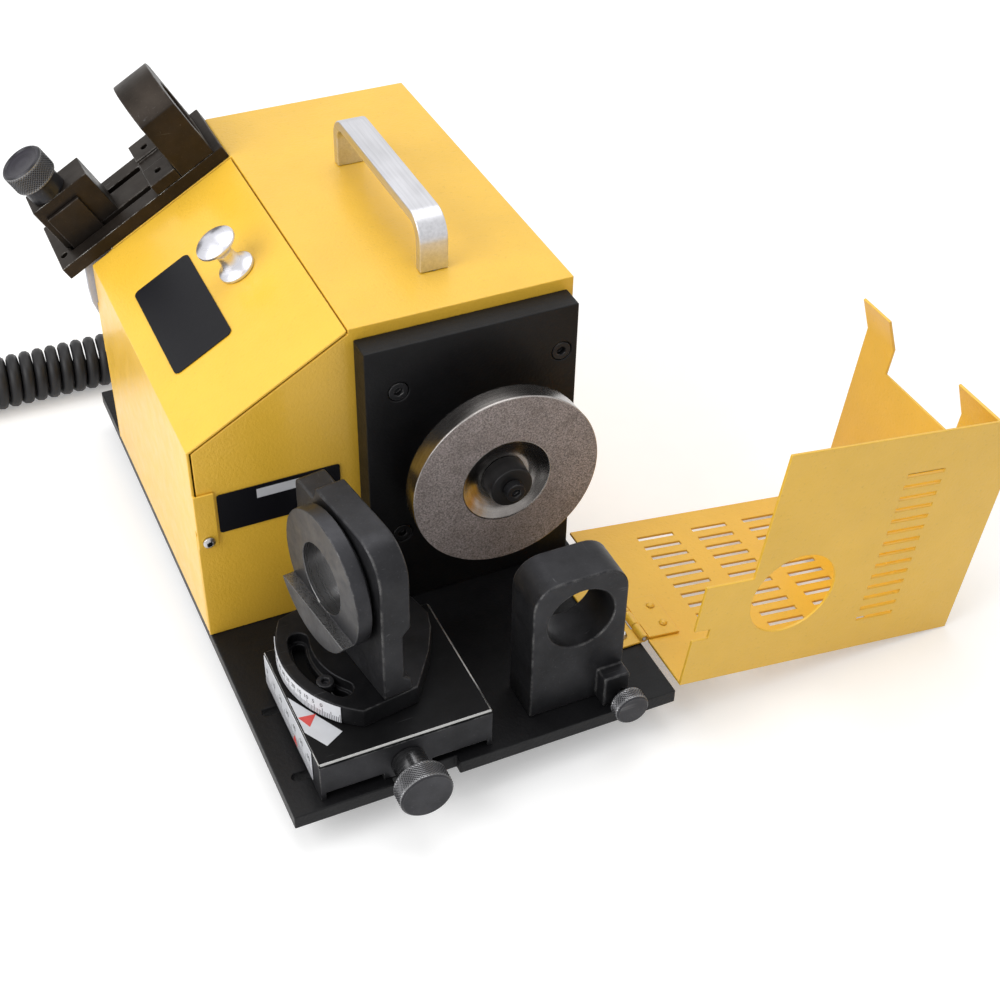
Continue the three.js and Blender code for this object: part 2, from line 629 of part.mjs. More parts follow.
// Housing: front wall, rear wall, top, right wall and the sloped rear left corner
{
  const under = SHEET + COVER_GAP;
  const wallX = HOUSING_LEFT + under;
  const endWall = [
    [HOUSING_LEFT, FLOOR],
    [HOUSING_RIGHT, FLOOR],
    [HOUSING_RIGHT, HOUSING_TOP],
    [SLOPE_TOP_X, HOUSING_TOP],
    [SLOPE_TOP_X, slopeZ(SLOPE_TOP_X, under)],
    [wallX, slopeZ(wallX, under)],
    [wallX, NOTCH_LOW_Z],
    [HOUSING_LEFT, NOTCH_LOW_Z],
  ];
  const partition = [
    [HOUSING_LEFT, FLOOR],
    [SLOPE_TOP_X + SHEET, FLOOR],
    [SLOPE_TOP_X + SHEET, HOUSING_TOP - SHEET / 2],
    [SLOPE_TOP_X, slopeZ(SLOPE_TOP_X, SHEET / 2)],
    [REAR_LEFT_X, slopeZ(REAR_LEFT_X, SHEET / 2)],
    [wallX, slopeZ(wallX, under)],
    [wallX, NOTCH_LOW_Z],
    [HOUSING_LEFT, NOTCH_LOW_Z],
  ];
  const backWall = [
    [REAR_LEFT_X, FLOOR],
    [HOUSING_RIGHT, FLOOR],
    [HOUSING_RIGHT, HOUSING_TOP],
    [SLOPE_TOP_X, HOUSING_TOP],
    [REAR_LEFT_X, slopeZ(REAR_LEFT_X, 0)],
  ];
  const rearSlope = [
    [REAR_LEFT_X, slopeZ(REAR_LEFT_X, 0)],
    [REAR_LEFT_X, slopeZ(REAR_LEFT_X, SHEET)],
    [SLOPE_TOP_X, slopeZ(SLOPE_TOP_X, SHEET)],
    [SLOPE_TOP_X, HOUSING_TOP],
  ];
  const back = HOUSING_BACK - SHEET;
  const rearFrom = COVER_BACK;
  const rearDepth = HOUSING_BACK - rearFrom;
  const pivotHole = (y) =>
    rod(PIVOT_SHANK_RADIUS + SEAT, SHEET + 2 * OVERRUN, "y", PIVOT_X, y - OVERRUN, PIVOT_Z, 16);
  const handleHole = (y) =>
    rod(HANDLE_SCREW_RADIUS + SEAT, SHEET + 2 * OVERRUN, "z", HANDLE_X + HANDLE_WIDTH / 2, y,
      HOUSING_TOP - SHEET - OVERRUN, 16);
  const switchHole = block(
    SWITCH_X - SWITCH_WIDTH / 2 + SWITCH_BODY_INSET, SWITCH_X + SWITCH_WIDTH / 2 - SWITCH_BODY_INSET,
    back - OVERRUN, HOUSING_BACK + OVERRUN,
    SWITCH_Z - SWITCH_HEIGHT / 2 + SWITCH_BODY_INSET, SWITCH_Z + SWITCH_HEIGHT / 2 - SWITCH_BODY_INSET,
  );
  piece(
    "housing",
    cut(
      join(
        flat(endWall, SHEET, "y", HOUSING_FRONT),
        flat(partition, SHEET, "y", rearFrom),
        flat(backWall, SHEET, "y", back),
        flat(rearSlope, rearDepth, "y", rearFrom),
        block(SLOPE_TOP_X, HOUSING_RIGHT, HOUSING_FRONT, HOUSING_BACK, HOUSING_TOP - SHEET, HOUSING_TOP),
        block(
          SLOPE_TOP_X, SLOPE_TOP_X + SHEET, HOUSING_FRONT, HOUSING_BACK,
          HOUSING_TOP - TOP_LIP, HOUSING_TOP,
        ),
        block(HOUSING_RIGHT - SHEET, HOUSING_RIGHT, HOUSING_FRONT, HOUSING_BACK, FLOOR, HOUSING_TOP),
        block(
          REAR_LEFT_X, REAR_LEFT_X + SHEET, rearFrom, HOUSING_BACK,
          FLOOR, slopeZ(REAR_LEFT_X, SHEET / 2),
        ),
      ),
      rod(SPIGOT_RADIUS + RUN, SHEET + 2 * OVERRUN, "y", AXIS_X, HOUSING_FRONT - OVERRUN, AXIS_Z, 32),
      ...PLATE_SCREW_PLACES.map(([x, z]) =>
        rod(PLATE_SCREW_SHANK_RADIUS + SEAT, SHEET + 2 * OVERRUN, "y", x, HOUSING_FRONT - OVERRUN, z, 14),
      ),
      pivotHole(HOUSING_FRONT),
      pivotHole(rearFrom),
      handleHole(HANDLE_FRONT_Y + HANDLE_THICKNESS / 2),
      handleHole(HANDLE_BACK_Y - HANDLE_THICKNESS / 2),
      switchHole,
      rod(GLAND_STEM_RADIUS + SEAT, SHEET + 2 * OVERRUN, "y", GLAND_X, back - OVERRUN, GLAND_Z, 24),
    ),
    YELLOW,
  );
}

// Side cover: the sloped lid and the left wall in one sheet, with a tab round each end wall
const slopeFrame = new THREE.Group();
slopeFrame.position.set(0, 0, FOLD_Z);
slopeFrame.rotation.y = -SLOPE;
slopeFrame.updateMatrix();
machine.add(slopeFrame);
const onSlope = (solid) => solidOf(geometryOf(solid).applyMatrix4(slopeFrame.matrix));
{
  const inner = HOUSING_LEFT + SHEET;
  const lidEnd = SLOPE_TOP_X - COVER_GAP;
  const shell = [
    [HOUSING_LEFT, NOTCH_HIGH_Z],
    [inner, NOTCH_HIGH_Z],
    [inner, slopeZ(inner, SHEET)],
    [lidEnd, slopeZ(lidEnd, SHEET)],
    [lidEnd, slopeZ(lidEnd, 0)],
    [HOUSING_LEFT, slopeZ(HOUSING_LEFT, 0)],
  ];
  const wallGap = SHEET + COVER_GAP;
  const tabOut = SEAT + TAB_THICKNESS;
  const tab = (y) =>
    cut(
      block(HOUSING_LEFT, TAB_RIGHT_X, y, y + TAB_THICKNESS, TAB_LOW_Z, TAB_HIGH_Z),
      rod(PIVOT_SHANK_RADIUS + SEAT, TAB_THICKNESS + 2 * OVERRUN, "y", PIVOT_X, y - OVERRUN, PIVOT_Z, 16),
    );
  const wrap = (y0, y1) => block(HOUSING_LEFT, inner, y0, y1, NOTCH_HIGH_Z, TAB_HIGH_Z);
  piece(
    "side_cover",
    cut(
      join(
        flat(shell, COVER_BACK - COVER_GAP - HOUSING_FRONT, "y", HOUSING_FRONT),
        block(
          HOUSING_LEFT, inner, HOUSING_FRONT + wallGap, COVER_BACK - COVER_GAP,
          BASE_THICKNESS + COVER_FOOT_GAP, NOTCH_HIGH_Z,
        ),
        tab(HOUSING_FRONT - tabOut),
        wrap(HOUSING_FRONT - tabOut, HOUSING_FRONT + SHEET),
        tab(COVER_BACK + SHEET + SEAT),
        wrap(COVER_BACK - wallGap, COVER_BACK + SHEET + tabOut),
      ),
      onSlope(rod(PULL_STUD_RADIUS + SEAT, SHEET + 2 * OVERRUN, "z", PULL_S, PULL_Y, -SHEET - OVERRUN, 16)),
    ),
    YELLOW,
  );
}
for (const [name, y, turn] of [
  ["cover_pivot_front", HOUSING_FRONT - SEAT - TAB_THICKNESS - SEAT - PIVOT_HEAD_HEIGHT, 1],
  ["cover_pivot_rear", COVER_BACK + SHEET + TAB_THICKNESS + 2 * SEAT + PIVOT_HEAD_HEIGHT, -1],
]) {
  const screw = piece(
    name,
    cut(
      turned(
        [
          [0, 0],
          [PIVOT_HEAD_RADIUS / 2, 0],
          [PIVOT_HEAD_RADIUS, PIVOT_HEAD_HEIGHT / 2],
          [PIVOT_HEAD_RADIUS, PIVOT_HEAD_HEIGHT],
          [PIVOT_SHANK_RADIUS, PIVOT_HEAD_HEIGHT],
          [PIVOT_SHANK_RADIUS, PIVOT_HEAD_HEIGHT + PIVOT_LENGTH],
          [0, PIVOT_HEAD_HEIGHT + PIVOT_LENGTH],
        ],
        "y", 0, 0, 0, 24,
      ),
      rod(PIVOT_HEAD_RADIUS * HEX_SHARE, PIVOT_HEAD_HEIGHT, "y", 0, -PIVOT_HEAD_HEIGHT / 2, 0, 6),
    ),
    BRIGHT,
  );
  screw.position.set(PIVOT_X, y, PIVOT_Z);
  if (turn < 0) screw.rotation.z = Math.PI;
}
piece(
  "cover_knob",
  turned(
    [
      [0, -PULL_STUD_LENGTH],
      [PULL_STUD_RADIUS, -PULL_STUD_LENGTH],
      [PULL_STUD_RADIUS, SEAT],
      ...PULL_SHARES.map(([a, b]) => [PULL_RADIUS * a, SEAT + (PULL_HEIGHT - SEAT) * b]),
    ],
    "z", PULL_S, PULL_Y, 0, 26,
  ),
  ALUMINIUM,
  slopeFrame,
);

// Bare foils on the lid and on the front wall
function roundedSheet(a0, a1, b0, b1, radius, thickness, along, from) {
  const outline = [
    ...arc(a1 - radius, b1 - radius, radius, 0, Math.PI / 2, 4),
    ...arc(a0 + radius, b1 - radius, radius, Math.PI / 2, Math.PI, 4),
    ...arc(a0 + radius, b0 + radius, radius, Math.PI, Math.PI * 1.5, 4),
    ...arc(a1 - radius, b0 + radius, radius, Math.PI * 1.5, Math.PI * 2, 4),
  ];
  return flat(outline, thickness, along, from);
}
piece(
  "slope_label",
  roundedSheet(
    SLOPE_LABEL_S, SLOPE_LABEL_S + SLOPE_LABEL_WIDTH,
    SLOPE_LABEL_Y, SLOPE_LABEL_Y + SLOPE_LABEL_LENGTH, LABEL_CORNER, FOIL, "z", SEAT,
  ),
  FOIL_BLACK,
  slopeFrame,
);
piece(
  "front_label",
  roundedSheet(
    FRONT_LABEL_X, PLATE_LEFT - FRONT_LABEL_GAP,
    FRONT_LABEL_Z, FRONT_LABEL_Z + FRONT_LABEL_HEIGHT, LABEL_CORNER / 2, FOIL,
    "y", HOUSING_FRONT - SEAT - FOIL,
  ),
  FOIL_BLACK,
);

// Front plate with its bore for the motor's spigot and four sunk screws
const throughPlate = PLATE_BACK - PLATE_FRONT + 2 * OVERRUN;
piece(
  "front_plate",
  cut(
    block(PLATE_LEFT, PLATE_RIGHT, PLATE_FRONT, PLATE_BACK, FLOOR, PLATE_TOP),
    rod(SPIGOT_RADIUS + SEAT, throughPlate, "y", AXIS_X, PLATE_FRONT - OVERRUN, AXIS_Z, 32),
    ...PLATE_SCREW_PLACES.flatMap(([x, z]) => [
      rod(PLATE_SCREW_HEAD_RADIUS + RUN, PLATE_SCREW_SINK + OVERRUN, "y", x, PLATE_FRONT - OVERRUN, z, 20),
      rod(PLATE_SCREW_SHANK_RADIUS + SEAT, throughPlate, "y", x, PLATE_FRONT - OVERRUN, z, 14),
    ]),
  ),
  BLACK_PAINT,
);
PLATE_SCREW_PLACES.forEach(([x, z], i) => {
  const screw = piece(
    "plate_screw_" + ["lower_left", "lower_right", "upper_left", "upper_right"][i],
    socketScrew(
      PLATE_SCREW_HEAD_RADIUS, PLATE_SCREW_HEAD_HEIGHT, PLATE_SCREW_SHANK_RADIUS, PLATE_SCREW_LENGTH,
    ),
    BLACKENED,
  );
  screw.rotation.x = Math.PI / 2;
  screw.position.set(x, PLATE_FRONT + PLATE_SCREW_SINK - PLATE_SCREW_HEAD_HEIGHT - SEAT, z);
});

// Motor: front bell with its flange and spigot, can with the rear bell, stator, bearings, spindle
const bellFront = HOUSING_FRONT + SHEET + SEAT;
const bellBack = bellFront + MOTOR_BELL;
const canFront = bellBack + SEAT;
const canBack = canFront + MOTOR_LENGTH;
const flangeX = screwOut + MOTOR_FLANGE_EDGE;
const flangeZ = PLATE_SCREW_Z + MOTOR_FLANGE_EDGE;
piece(
  "motor_bell",
  cut(
    join(
      block(
        AXIS_X - flangeX, AXIS_X + flangeX, bellFront, bellBack, AXIS_Z - flangeZ, AXIS_Z + flangeZ,
      ),
      rod(SPIGOT_RADIUS, SPIGOT_LENGTH + MOTOR_BELL, "y", AXIS_X, bellFront - SPIGOT_LENGTH, AXIS_Z, 32),
    ),
    rod(BEARING_RADIUS + SEAT, BEARING_WIDTH + OVERRUN, "y", AXIS_X, bellBack - BEARING_WIDTH, AXIS_Z, 24),
    rod(
      SHAFT_RADIUS + RUN, SPIGOT_LENGTH + MOTOR_BELL + 2 * OVERRUN, "y",
      AXIS_X, bellFront - SPIGOT_LENGTH - OVERRUN, AXIS_Z, 24,
    ),
    ...PLATE_SCREW_PLACES.map(([x, z]) =>
      rod(PLATE_SCREW_SHANK_RADIUS + SEAT, MOTOR_BELL + 2 * OVERRUN, "y", x, bellFront - OVERRUN, z, 14),
    ),
  ),
  ALUMINIUM,
);
{
  const vents = Array.from({ length: VENT_COUNT }, (_, i) => {
    const a = (2 * Math.PI * i) / VENT_COUNT;
    return rod(
      VENT_RADIUS, MOTOR_END + 2 * OVERRUN, "y",
      AXIS_X + VENT_CIRCLE_RADIUS * Math.cos(a), canBack - MOTOR_END - OVERRUN,
      AXIS_Z + VENT_CIRCLE_RADIUS * Math.sin(a), 10,
    );
  });
  const inside = canBack - MOTOR_END;
  piece(
    "motor_can",
    cut(
      rod(MOTOR_RADIUS, MOTOR_LENGTH, "y", AXIS_X, canFront, AXIS_Z, 36),
      rod(
        MOTOR_RADIUS - MOTOR_WALL, inside - canFront + OVERRUN, "y",
        AXIS_X, canFront - OVERRUN, AXIS_Z, 36,
      ),
      rod(BEARING_RADIUS + SEAT, BEARING_WIDTH + OVERRUN, "y", AXIS_X, inside - OVERRUN, AXIS_Z, 24),
      rod(SHAFT_RADIUS + RUN, MOTOR_END + 2 * OVERRUN, "y", AXIS_X, inside - OVERRUN, AXIS_Z, 24),
      ...vents,
    ),
    ALUMINIUM,
  );
  const bearing = (y) => {
    const inner = SHAFT_RADIUS + SEAT;
    const groove = (BEARING_RADIUS - inner) / 3;
    const dip = BEARING_WIDTH / 9;
    return turned(
      [
        [inner, 0],
        [inner + groove, 0],
        [inner + groove, dip],
        [BEARING_RADIUS - groove, dip],
        [BEARING_RADIUS - groove, 0],
        [BEARING_RADIUS, 0],
        [BEARING_RADIUS, BEARING_WIDTH - SEAT],
        [inner, BEARING_WIDTH - SEAT],
      ],
      "y", AXIS_X, y, AXIS_Z, 24,
    );
  };
  piece("bearing_front", bearing(bellBack - BEARING_WIDTH + SEAT), BRIGHT);
  piece("bearing_rear", bearing(inside), BRIGHT);
  const statorFront = (canFront + inside - STATOR_LENGTH) / 2;
  piece(
    "stator",
    turned(
      [
        [STATOR_BORE_RADIUS, 0],
        [MOTOR_RADIUS - MOTOR_WALL - SEAT, 0],
        [MOTOR_RADIUS - MOTOR_WALL - SEAT, STATOR_LENGTH],
        [STATOR_BORE_RADIUS, STATOR_LENGTH],
      ],
      "y", AXIS_X, statorFront, AXIS_Z, 36,
    ),
    COPPER,
  );
  const collarFront = WHEEL_FACE_Y + WHEEL_THICKNESS + SEAT;
  const noseFront = collarFront - NOSE_LENGTH;
  const rotorFront = statorFront - noseFront;
  piece(
    "spindle",
    cut(
      turned(
        [
          [0, 0],
          [NOSE_RADIUS, 0],
          [NOSE_RADIUS, NOSE_LENGTH],
          [COLLAR_RADIUS, NOSE_LENGTH],
          [COLLAR_RADIUS, NOSE_LENGTH + COLLAR_WIDTH],
          [SHAFT_RADIUS, NOSE_LENGTH + COLLAR_WIDTH],
          [SHAFT_RADIUS, rotorFront],
          [ROTOR_RADIUS, rotorFront],
          [ROTOR_RADIUS, rotorFront + STATOR_LENGTH],
          [SHAFT_RADIUS, rotorFront + STATOR_LENGTH],
          [SHAFT_RADIUS, inside + BEARING_WIDTH - noseFront],
          [0, inside + BEARING_WIDTH - noseFront],
        ],
        "y", AXIS_X, noseFront, AXIS_Z, 24,
      ),
      rod(
        WHEEL_BOLT_SHANK_RADIUS + SEAT, WHEEL_BOLT_LENGTH, "y",
        AXIS_X, noseFront - OVERRUN, AXIS_Z, 20,
      ),
    ),
    BRIGHT,
  );
}

// Grinding wheel, hub flange and bolt
{
  const back = WHEEL_THICKNESS;
  const bore = NOSE_RADIUS + SEAT;
  piece(
    "grinding_wheel",
    turned(
      [
        [bore, WHEEL_DISH_DEPTH],
        [WHEEL_HUB_RADIUS, WHEEL_DISH_DEPTH],
        [WHEEL_DISH_RADIUS, 0],
        [WHEEL_RADIUS, 0],
        [WHEEL_BACK_RADIUS, back],
        [bore, back],
      ],
      "y", AXIS_X, WHEEL_FACE_Y, AXIS_Z, 48,
    ),
    ABRASIVE,
  );
  const hubBack = WHEEL_FACE_Y + WHEEL_DISH_DEPTH - SEAT;
  const hubBore = WHEEL_BOLT_SHANK_RADIUS + SEAT;
  piece(
    "hub_flange",
    turned(
      [
        [hubBore, 0],
        [HUB_NOSE_RADIUS, 0],
        [HUB_NOSE_RADIUS, HUB_LENGTH * HUB_NOSE_SHARE],
        [HUB_RADIUS, HUB_LENGTH * HUB_CONE_SHARE],
        [HUB_RADIUS, HUB_LENGTH],
        [hubBore, HUB_LENGTH],
      ],
      "y", AXIS_X, hubBack - HUB_LENGTH, AXIS_Z, 28,
    ),
    BLACKENED,
  );
  const bolt = piece(
    "wheel_bolt",
    socketScrew(
      WHEEL_BOLT_HEAD_RADIUS, WHEEL_BOLT_HEAD_HEIGHT, WHEEL_BOLT_SHANK_RADIUS, WHEEL_BOLT_LENGTH,
    ),
    BLACKENED,
  );
  bolt.rotation.x = Math.PI / 2;
  bolt.position.set(AXIS_X, hubBack - HUB_LENGTH - SEAT - WHEEL_BOLT_HEAD_HEIGHT, AXIS_Z);
}

// Carry handle and its two screws from below
{
  const outer = HANDLE_BEND_RADIUS;
  const inner = HANDLE_BEND_RADIUS - HANDLE_THICKNESS;
  const foot = HOUSING_TOP + SEAT;
  const top = HOUSING_TOP + HANDLE_HEIGHT;
  const outline = [
    [HANDLE_FRONT_Y, foot],
    [HANDLE_FRONT_Y + HANDLE_THICKNESS, foot],
    ...arc(HANDLE_FRONT_Y + outer, top - outer, inner, Math.PI, Math.PI / 2, 6),
    ...arc(HANDLE_BACK_Y - outer, top - outer, inner, Math.PI / 2, 0, 6),
    [HANDLE_BACK_Y - HANDLE_THICKNESS, foot],
    [HANDLE_BACK_Y, foot],
    ...arc(HANDLE_BACK_Y - outer, top - outer, outer, 0, Math.PI / 2, 6),
    ...arc(HANDLE_FRONT_Y + outer, top - outer, outer, Math.PI / 2, Math.PI, 6),
  ];
  const middle = HANDLE_X + HANDLE_WIDTH / 2;
  const legs = [
    ["front", HANDLE_FRONT_Y + HANDLE_THICKNESS / 2],
    ["rear", HANDLE_BACK_Y - HANDLE_THICKNESS / 2],
  ];
  const under = HOUSING_TOP - SHEET - SEAT;
  piece(
    "carry_handle",
    cut(
      flat(outline, HANDLE_WIDTH, "x", HANDLE_X),
      ...legs.map(([, y]) =>
        rod(HANDLE_SCREW_RADIUS + SEAT, HANDLE_SCREW_LENGTH, "z", middle, y, foot - OVERRUN, 16),
      ),
    ),
    ALUMINIUM,
  );
  for (const [end, y] of legs)
    piece(
      "handle_screw_" + end,
      turned(
        [
          [0, -HANDLE_SCREW_HEAD_HEIGHT],
          [HANDLE_SCREW_HEAD_RADIUS, -HANDLE_SCREW_HEAD_HEIGHT],
          [HANDLE_SCREW_HEAD_RADIUS, 0],
          [HANDLE_SCREW_RADIUS, 0],
          [HANDLE_SCREW_RADIUS, HANDLE_SCREW_LENGTH - OVERRUN],
          [0, HANDLE_SCREW_LENGTH - OVERRUN],
        ],
        "z", middle, y, under, 20,
      ),
      BRIGHT,
    );
}

// Feed slide
const blockTop = SLIDE_TOP_Z - SLIDE_PLATE - SEAT;
const feedX = RAIL_X + RAIL_WIDTH / 2;
const feedBore = FEED_SCREW_RADIUS + RUN;
piece(
  "slide_rail",
  cut(
    block(RAIL_X, RAIL_X + RAIL_WIDTH, RAIL_FRONT_Y, RAIL_FRONT_Y + RAIL_LENGTH, FLOOR, RAIL_TOP_Z),
    rod(feedBore, RAIL_LENGTH + 2 * OVERRUN, "y", feedX, RAIL_FRONT_Y - OVERRUN, FEED_Z, 24),
  ),
  BLACKENED,
);
piece(
  "slide_block",
  cut(
    block(SLIDE_LEFT, SLIDE_RIGHT, SLIDE_FRONT, SLIDE_BACK, FLOOR, blockTop),
    block(
      SLIDE_LEFT + SLIDE_FOOT_WIDTH, RAIL_X, SLIDE_FRONT - OVERRUN, SLIDE_BACK + OVERRUN,
      0, SLIDE_UNDERCUT_Z,
    ),
    block(
      RAIL_X + RAIL_WIDTH, SLIDE_RIGHT - SLIDE_FOOT_WIDTH, SLIDE_FRONT - OVERRUN, SLIDE_BACK + OVERRUN,
      0, SLIDE_UNDERCUT_Z,
    ),
    block(
      RAIL_X - SEAT, RAIL_X + RAIL_WIDTH + SEAT, SLIDE_FRONT + SLIDE_FRONT_WALL, SLIDE_BACK + OVERRUN,
      0, RAIL_TOP_Z + SEAT,
    ),
    rod(feedBore, SLIDE_FRONT_WALL + 2 * OVERRUN, "y", feedX, SLIDE_FRONT - OVERRUN, FEED_Z, 24),
    rod(PIVOT_BOLT_RADIUS + SEAT, blockTop, "z", SWIVEL_X, SWIVEL_Y, RAIL_TOP_Z, 24),
    rod(
      CLAMP_SHANK_RADIUS + SEAT, blockTop, "z",
      SWIVEL_X + SECTOR_SLOT_RADIUS * Math.cos(CLAMP_ANGLE + SWIVEL_TURN),
      SWIVEL_Y + SECTOR_SLOT_RADIUS * Math.sin(CLAMP_ANGLE + SWIVEL_TURN), SLIDE_UNDERCUT_Z + SLIDE_PLATE, 20,
    ),
  ),
  BLACKENED,
);
const clampX = SWIVEL_X + SECTOR_SLOT_RADIUS * Math.cos(CLAMP_ANGLE + SWIVEL_TURN);
const clampY = SWIVEL_Y + SECTOR_SLOT_RADIUS * Math.sin(CLAMP_ANGLE + SWIVEL_TURN);
const studFoot = RAIL_TOP_Z + 2 * SEAT;
const studTop = SLIDE_TOP_Z + SECTOR_THICKNESS - SEAT;
piece(
  "slide_plate",
  cut(
    join(
      block(SLIDE_LEFT, SLIDE_RIGHT, SLIDE_FRONT, SLIDE_BACK, blockTop + SEAT, SLIDE_TOP_Z),
      rod(PIVOT_BOLT_RADIUS, studTop - studFoot, "z", SWIVEL_X, SWIVEL_Y, studFoot, 24),
    ),
    rod(CLAMP_SHANK_RADIUS + SEAT, SLIDE_TOP_Z, "z", clampX, clampY, blockTop, 20),
  ),
  BLACKENED,
);
{
  const knobEnd = FEED_KNOB_LENGTH;
  const collarEnd = knobEnd + FEED_COLLAR_LENGTH;
  const start = SLIDE_FRONT - SEAT - collarEnd;
  piece(
    "feed_knob",
    turned(
      [
        [0, 0],
        [FEED_KNOB_RADIUS - FEED_KNOB_BEVEL, 0],
        [FEED_KNOB_RADIUS, FEED_KNOB_BEVEL],
        [FEED_KNOB_RADIUS, knobEnd - FEED_KNOB_BEVEL],
        [FEED_KNOB_RADIUS - FEED_KNOB_BEVEL, knobEnd],
        [FEED_COLLAR_RADIUS, knobEnd],
        [FEED_COLLAR_RADIUS, collarEnd],
        [FEED_SCREW_RADIUS, collarEnd],
        [FEED_SCREW_RADIUS, collarEnd + FEED_REACH],
        [0, collarEnd + FEED_REACH],
      ],
      "y", feedX, start, FEED_Z, 28,
    ),
    BLACKENED,
  );
}
const tapeX = SLIDE_LEFT - SEAT - FOIL;
piece(
  "side_scale",
  block(
    tapeX, tapeX + FOIL, SIDE_TAPE_Y, SIDE_TAPE_Y + SIDE_TAPE_LENGTH,
    SIDE_TAPE_LOW_Z, SIDE_TAPE_HIGH_Z,
  ),
  FOIL_WHITE,
);

// Work head, turned about the pivot stud
const head = new THREE.Group();
head.position.set(SWIVEL_X, SWIVEL_Y, 0);
head.rotation.z = SWIVEL_TURN;
machine.add(head);
const sectorBottom = SLIDE_TOP_Z + SEAT;
const sectorTop = sectorBottom + SECTOR_THICKNESS;
const slotEnd = (radius, r, angle, turn) =>
  arc(radius * Math.cos(angle), radius * Math.sin(angle), r, angle + turn, angle + turn + Math.PI, 6)
    .slice(1, -1);
const ringSlot = (radius, width, from, to, z0, z1, steps = 14) => {
  const r = width / 2;
  return flat(
    [
      ...arc(0, 0, radius + r, from, to, steps),
      ...slotEnd(radius, r, to, 0),
      ...arc(0, 0, radius - r, to, from, steps),
      ...slotEnd(radius, r, from, Math.PI),
    ],
    z1 - z0, "z", z0,
  );
};
{
  const flatFrom = -Math.PI + Math.asin(SECTOR_FLAT / SECTOR_RADIUS);
  const right = SECTOR_RIGHT_SHARES.map(([a, b]) => [a * SECTOR_FLAT, b * SECTOR_FLAT]);
  const outline = [
    ...arc(0, 0, SECTOR_RADIUS, SECTOR_BACK, flatFrom + 2 * Math.PI, 28),
    ...right,
  ];
  const step = sectorBottom + SECTOR_SLOT_STEP;
  piece(
    "swivel_sector",
    cut(
      flat(outline, SECTOR_THICKNESS, "z", sectorBottom),
      ringSlot(
        SECTOR_SLOT_RADIUS, SECTOR_SLOT_WIDTH, SECTOR_SLOT_FROM, SECTOR_SLOT_TO,
        step, sectorTop + OVERRUN,
      ),
      ringSlot(
        SECTOR_SLOT_RADIUS, SECTOR_SLOT_STEP_WIDTH, SECTOR_SLOT_FROM, SECTOR_SLOT_TO,
        sectorBottom - OVERRUN, step + OVERRUN,
      ),
      rod(PIVOT_BOLT_RADIUS + RUN, sectorTop - SEAT - sectorBottom + OVERRUN, "z", 0, 0,
        sectorBottom - OVERRUN, 24),
    ),
    BLACKENED,
    head,
  );
  piece(
    "rim_scale",
    flat(
      [
        ...arc(0, 0, SECTOR_RADIUS + SEAT + FOIL, TAPE_FROM, TAPE_TO, 20),
        ...arc(0, 0, SECTOR_RADIUS + SEAT, TAPE_TO, TAPE_FROM, 20),
      ],
      SECTOR_THICKNESS - 2 * SEAT, "z", sectorBottom + SEAT,
    ),
    FOIL_WHITE,
    head,
  );
}
{
  const clamp = piece(
    "clamp_bolt",
    socketScrew(CLAMP_HEAD_RADIUS, CLAMP_HEAD_HEIGHT, CLAMP_SHANK_RADIUS, CLAMP_LENGTH),
    BLACKENED,
  );
  clamp.position.set(clampX, clampY, sectorBottom + SECTOR_SLOT_STEP + SEAT + CLAMP_HEAD_HEIGHT);
}
{
  const nose = ARCH_NOSE_RADIUS;
  const heel = ARCH_HEEL_RADIUS;
  const outline = [
    [ARCH_FRONT, sectorTop + SEAT],
    [ARCH_BACK, sectorTop + SEAT],
    ...arc(ARCH_BACK - heel, ARCH_STEP_Z - heel, heel, 0, Math.PI / 2, 3),
    [ARCH_STEP_V + ARCH_STEP_RUN, ARCH_STEP_Z],
    [ARCH_STEP_V, ARCH_TOP_Z],
    ...arc(ARCH_FRONT + nose, ARCH_TOP_Z - nose, nose, Math.PI / 2, Math.PI, 10),
  ];
  const right = ARCH_LEFT + ARCH_THICKNESS;
  const hollow = [
    [right - ARCH_HOLLOW_DEPTH, ARCH_HOLLOW_LOW_Z],
    [right + OVERRUN, ARCH_HOLLOW_LOW_Z - ARCH_HOLLOW_SLANT],
    [right + OVERRUN, ARCH_HOLLOW_HIGH_Z + ARCH_HOLLOW_SLANT],
    [right - ARCH_HOLLOW_DEPTH, ARCH_HOLLOW_HIGH_Z],
  ];
  piece(
    "arch_block",
    cut(
      flat(outline, ARCH_THICKNESS, "x", ARCH_LEFT),
      flat(hollow, ARCH_BACK - ARCH_FRONT + 2 * OVERRUN, "y", ARCH_FRONT - OVERRUN),
      rod(RING_HUB_RADIUS + RUN, ARCH_THICKNESS + 2 * OVERRUN, "x", ARCH_LEFT - OVERRUN, RING_V, RING_Z, 32),
    ),
    BLACKENED,
    head,
  );
  const hubEnd = ARCH_LEFT + RING_HUB_LENGTH;
  const collarLeft = ARCH_LEFT - SEAT - RING_COLLAR;
  const ringLeft = collarLeft - RING_THICKNESS;
  const proud = ringLeft - LEDGE_DEPTH;
  const ledgeZ = RING_Z - LEDGE_DROP;
  const half = RING_RADIUS + OVERRUN;
  const ringRod = (radius, from, to, sides) => rod(radius, to - from, "x", from, RING_V, RING_Z, sides);
  piece(
    "index_ring",
    cut(
      join(
        ringRod(RING_RADIUS, proud, collarLeft, 44),
        ringRod(RING_COLLAR_RADIUS, collarLeft - OVERRUN, ARCH_LEFT - SEAT, 36),
        ringRod(RING_HUB_RADIUS, collarLeft, hubEnd, 32),
      ),
      block(proud - OVERRUN, ringLeft, RING_V - half, RING_V + half, ledgeZ, RING_Z + half),
      ringRod(RING_BORE_RADIUS, proud - OVERRUN, hubEnd + OVERRUN, 32),
    ),
    BLACKENED,
    head,
  );
}

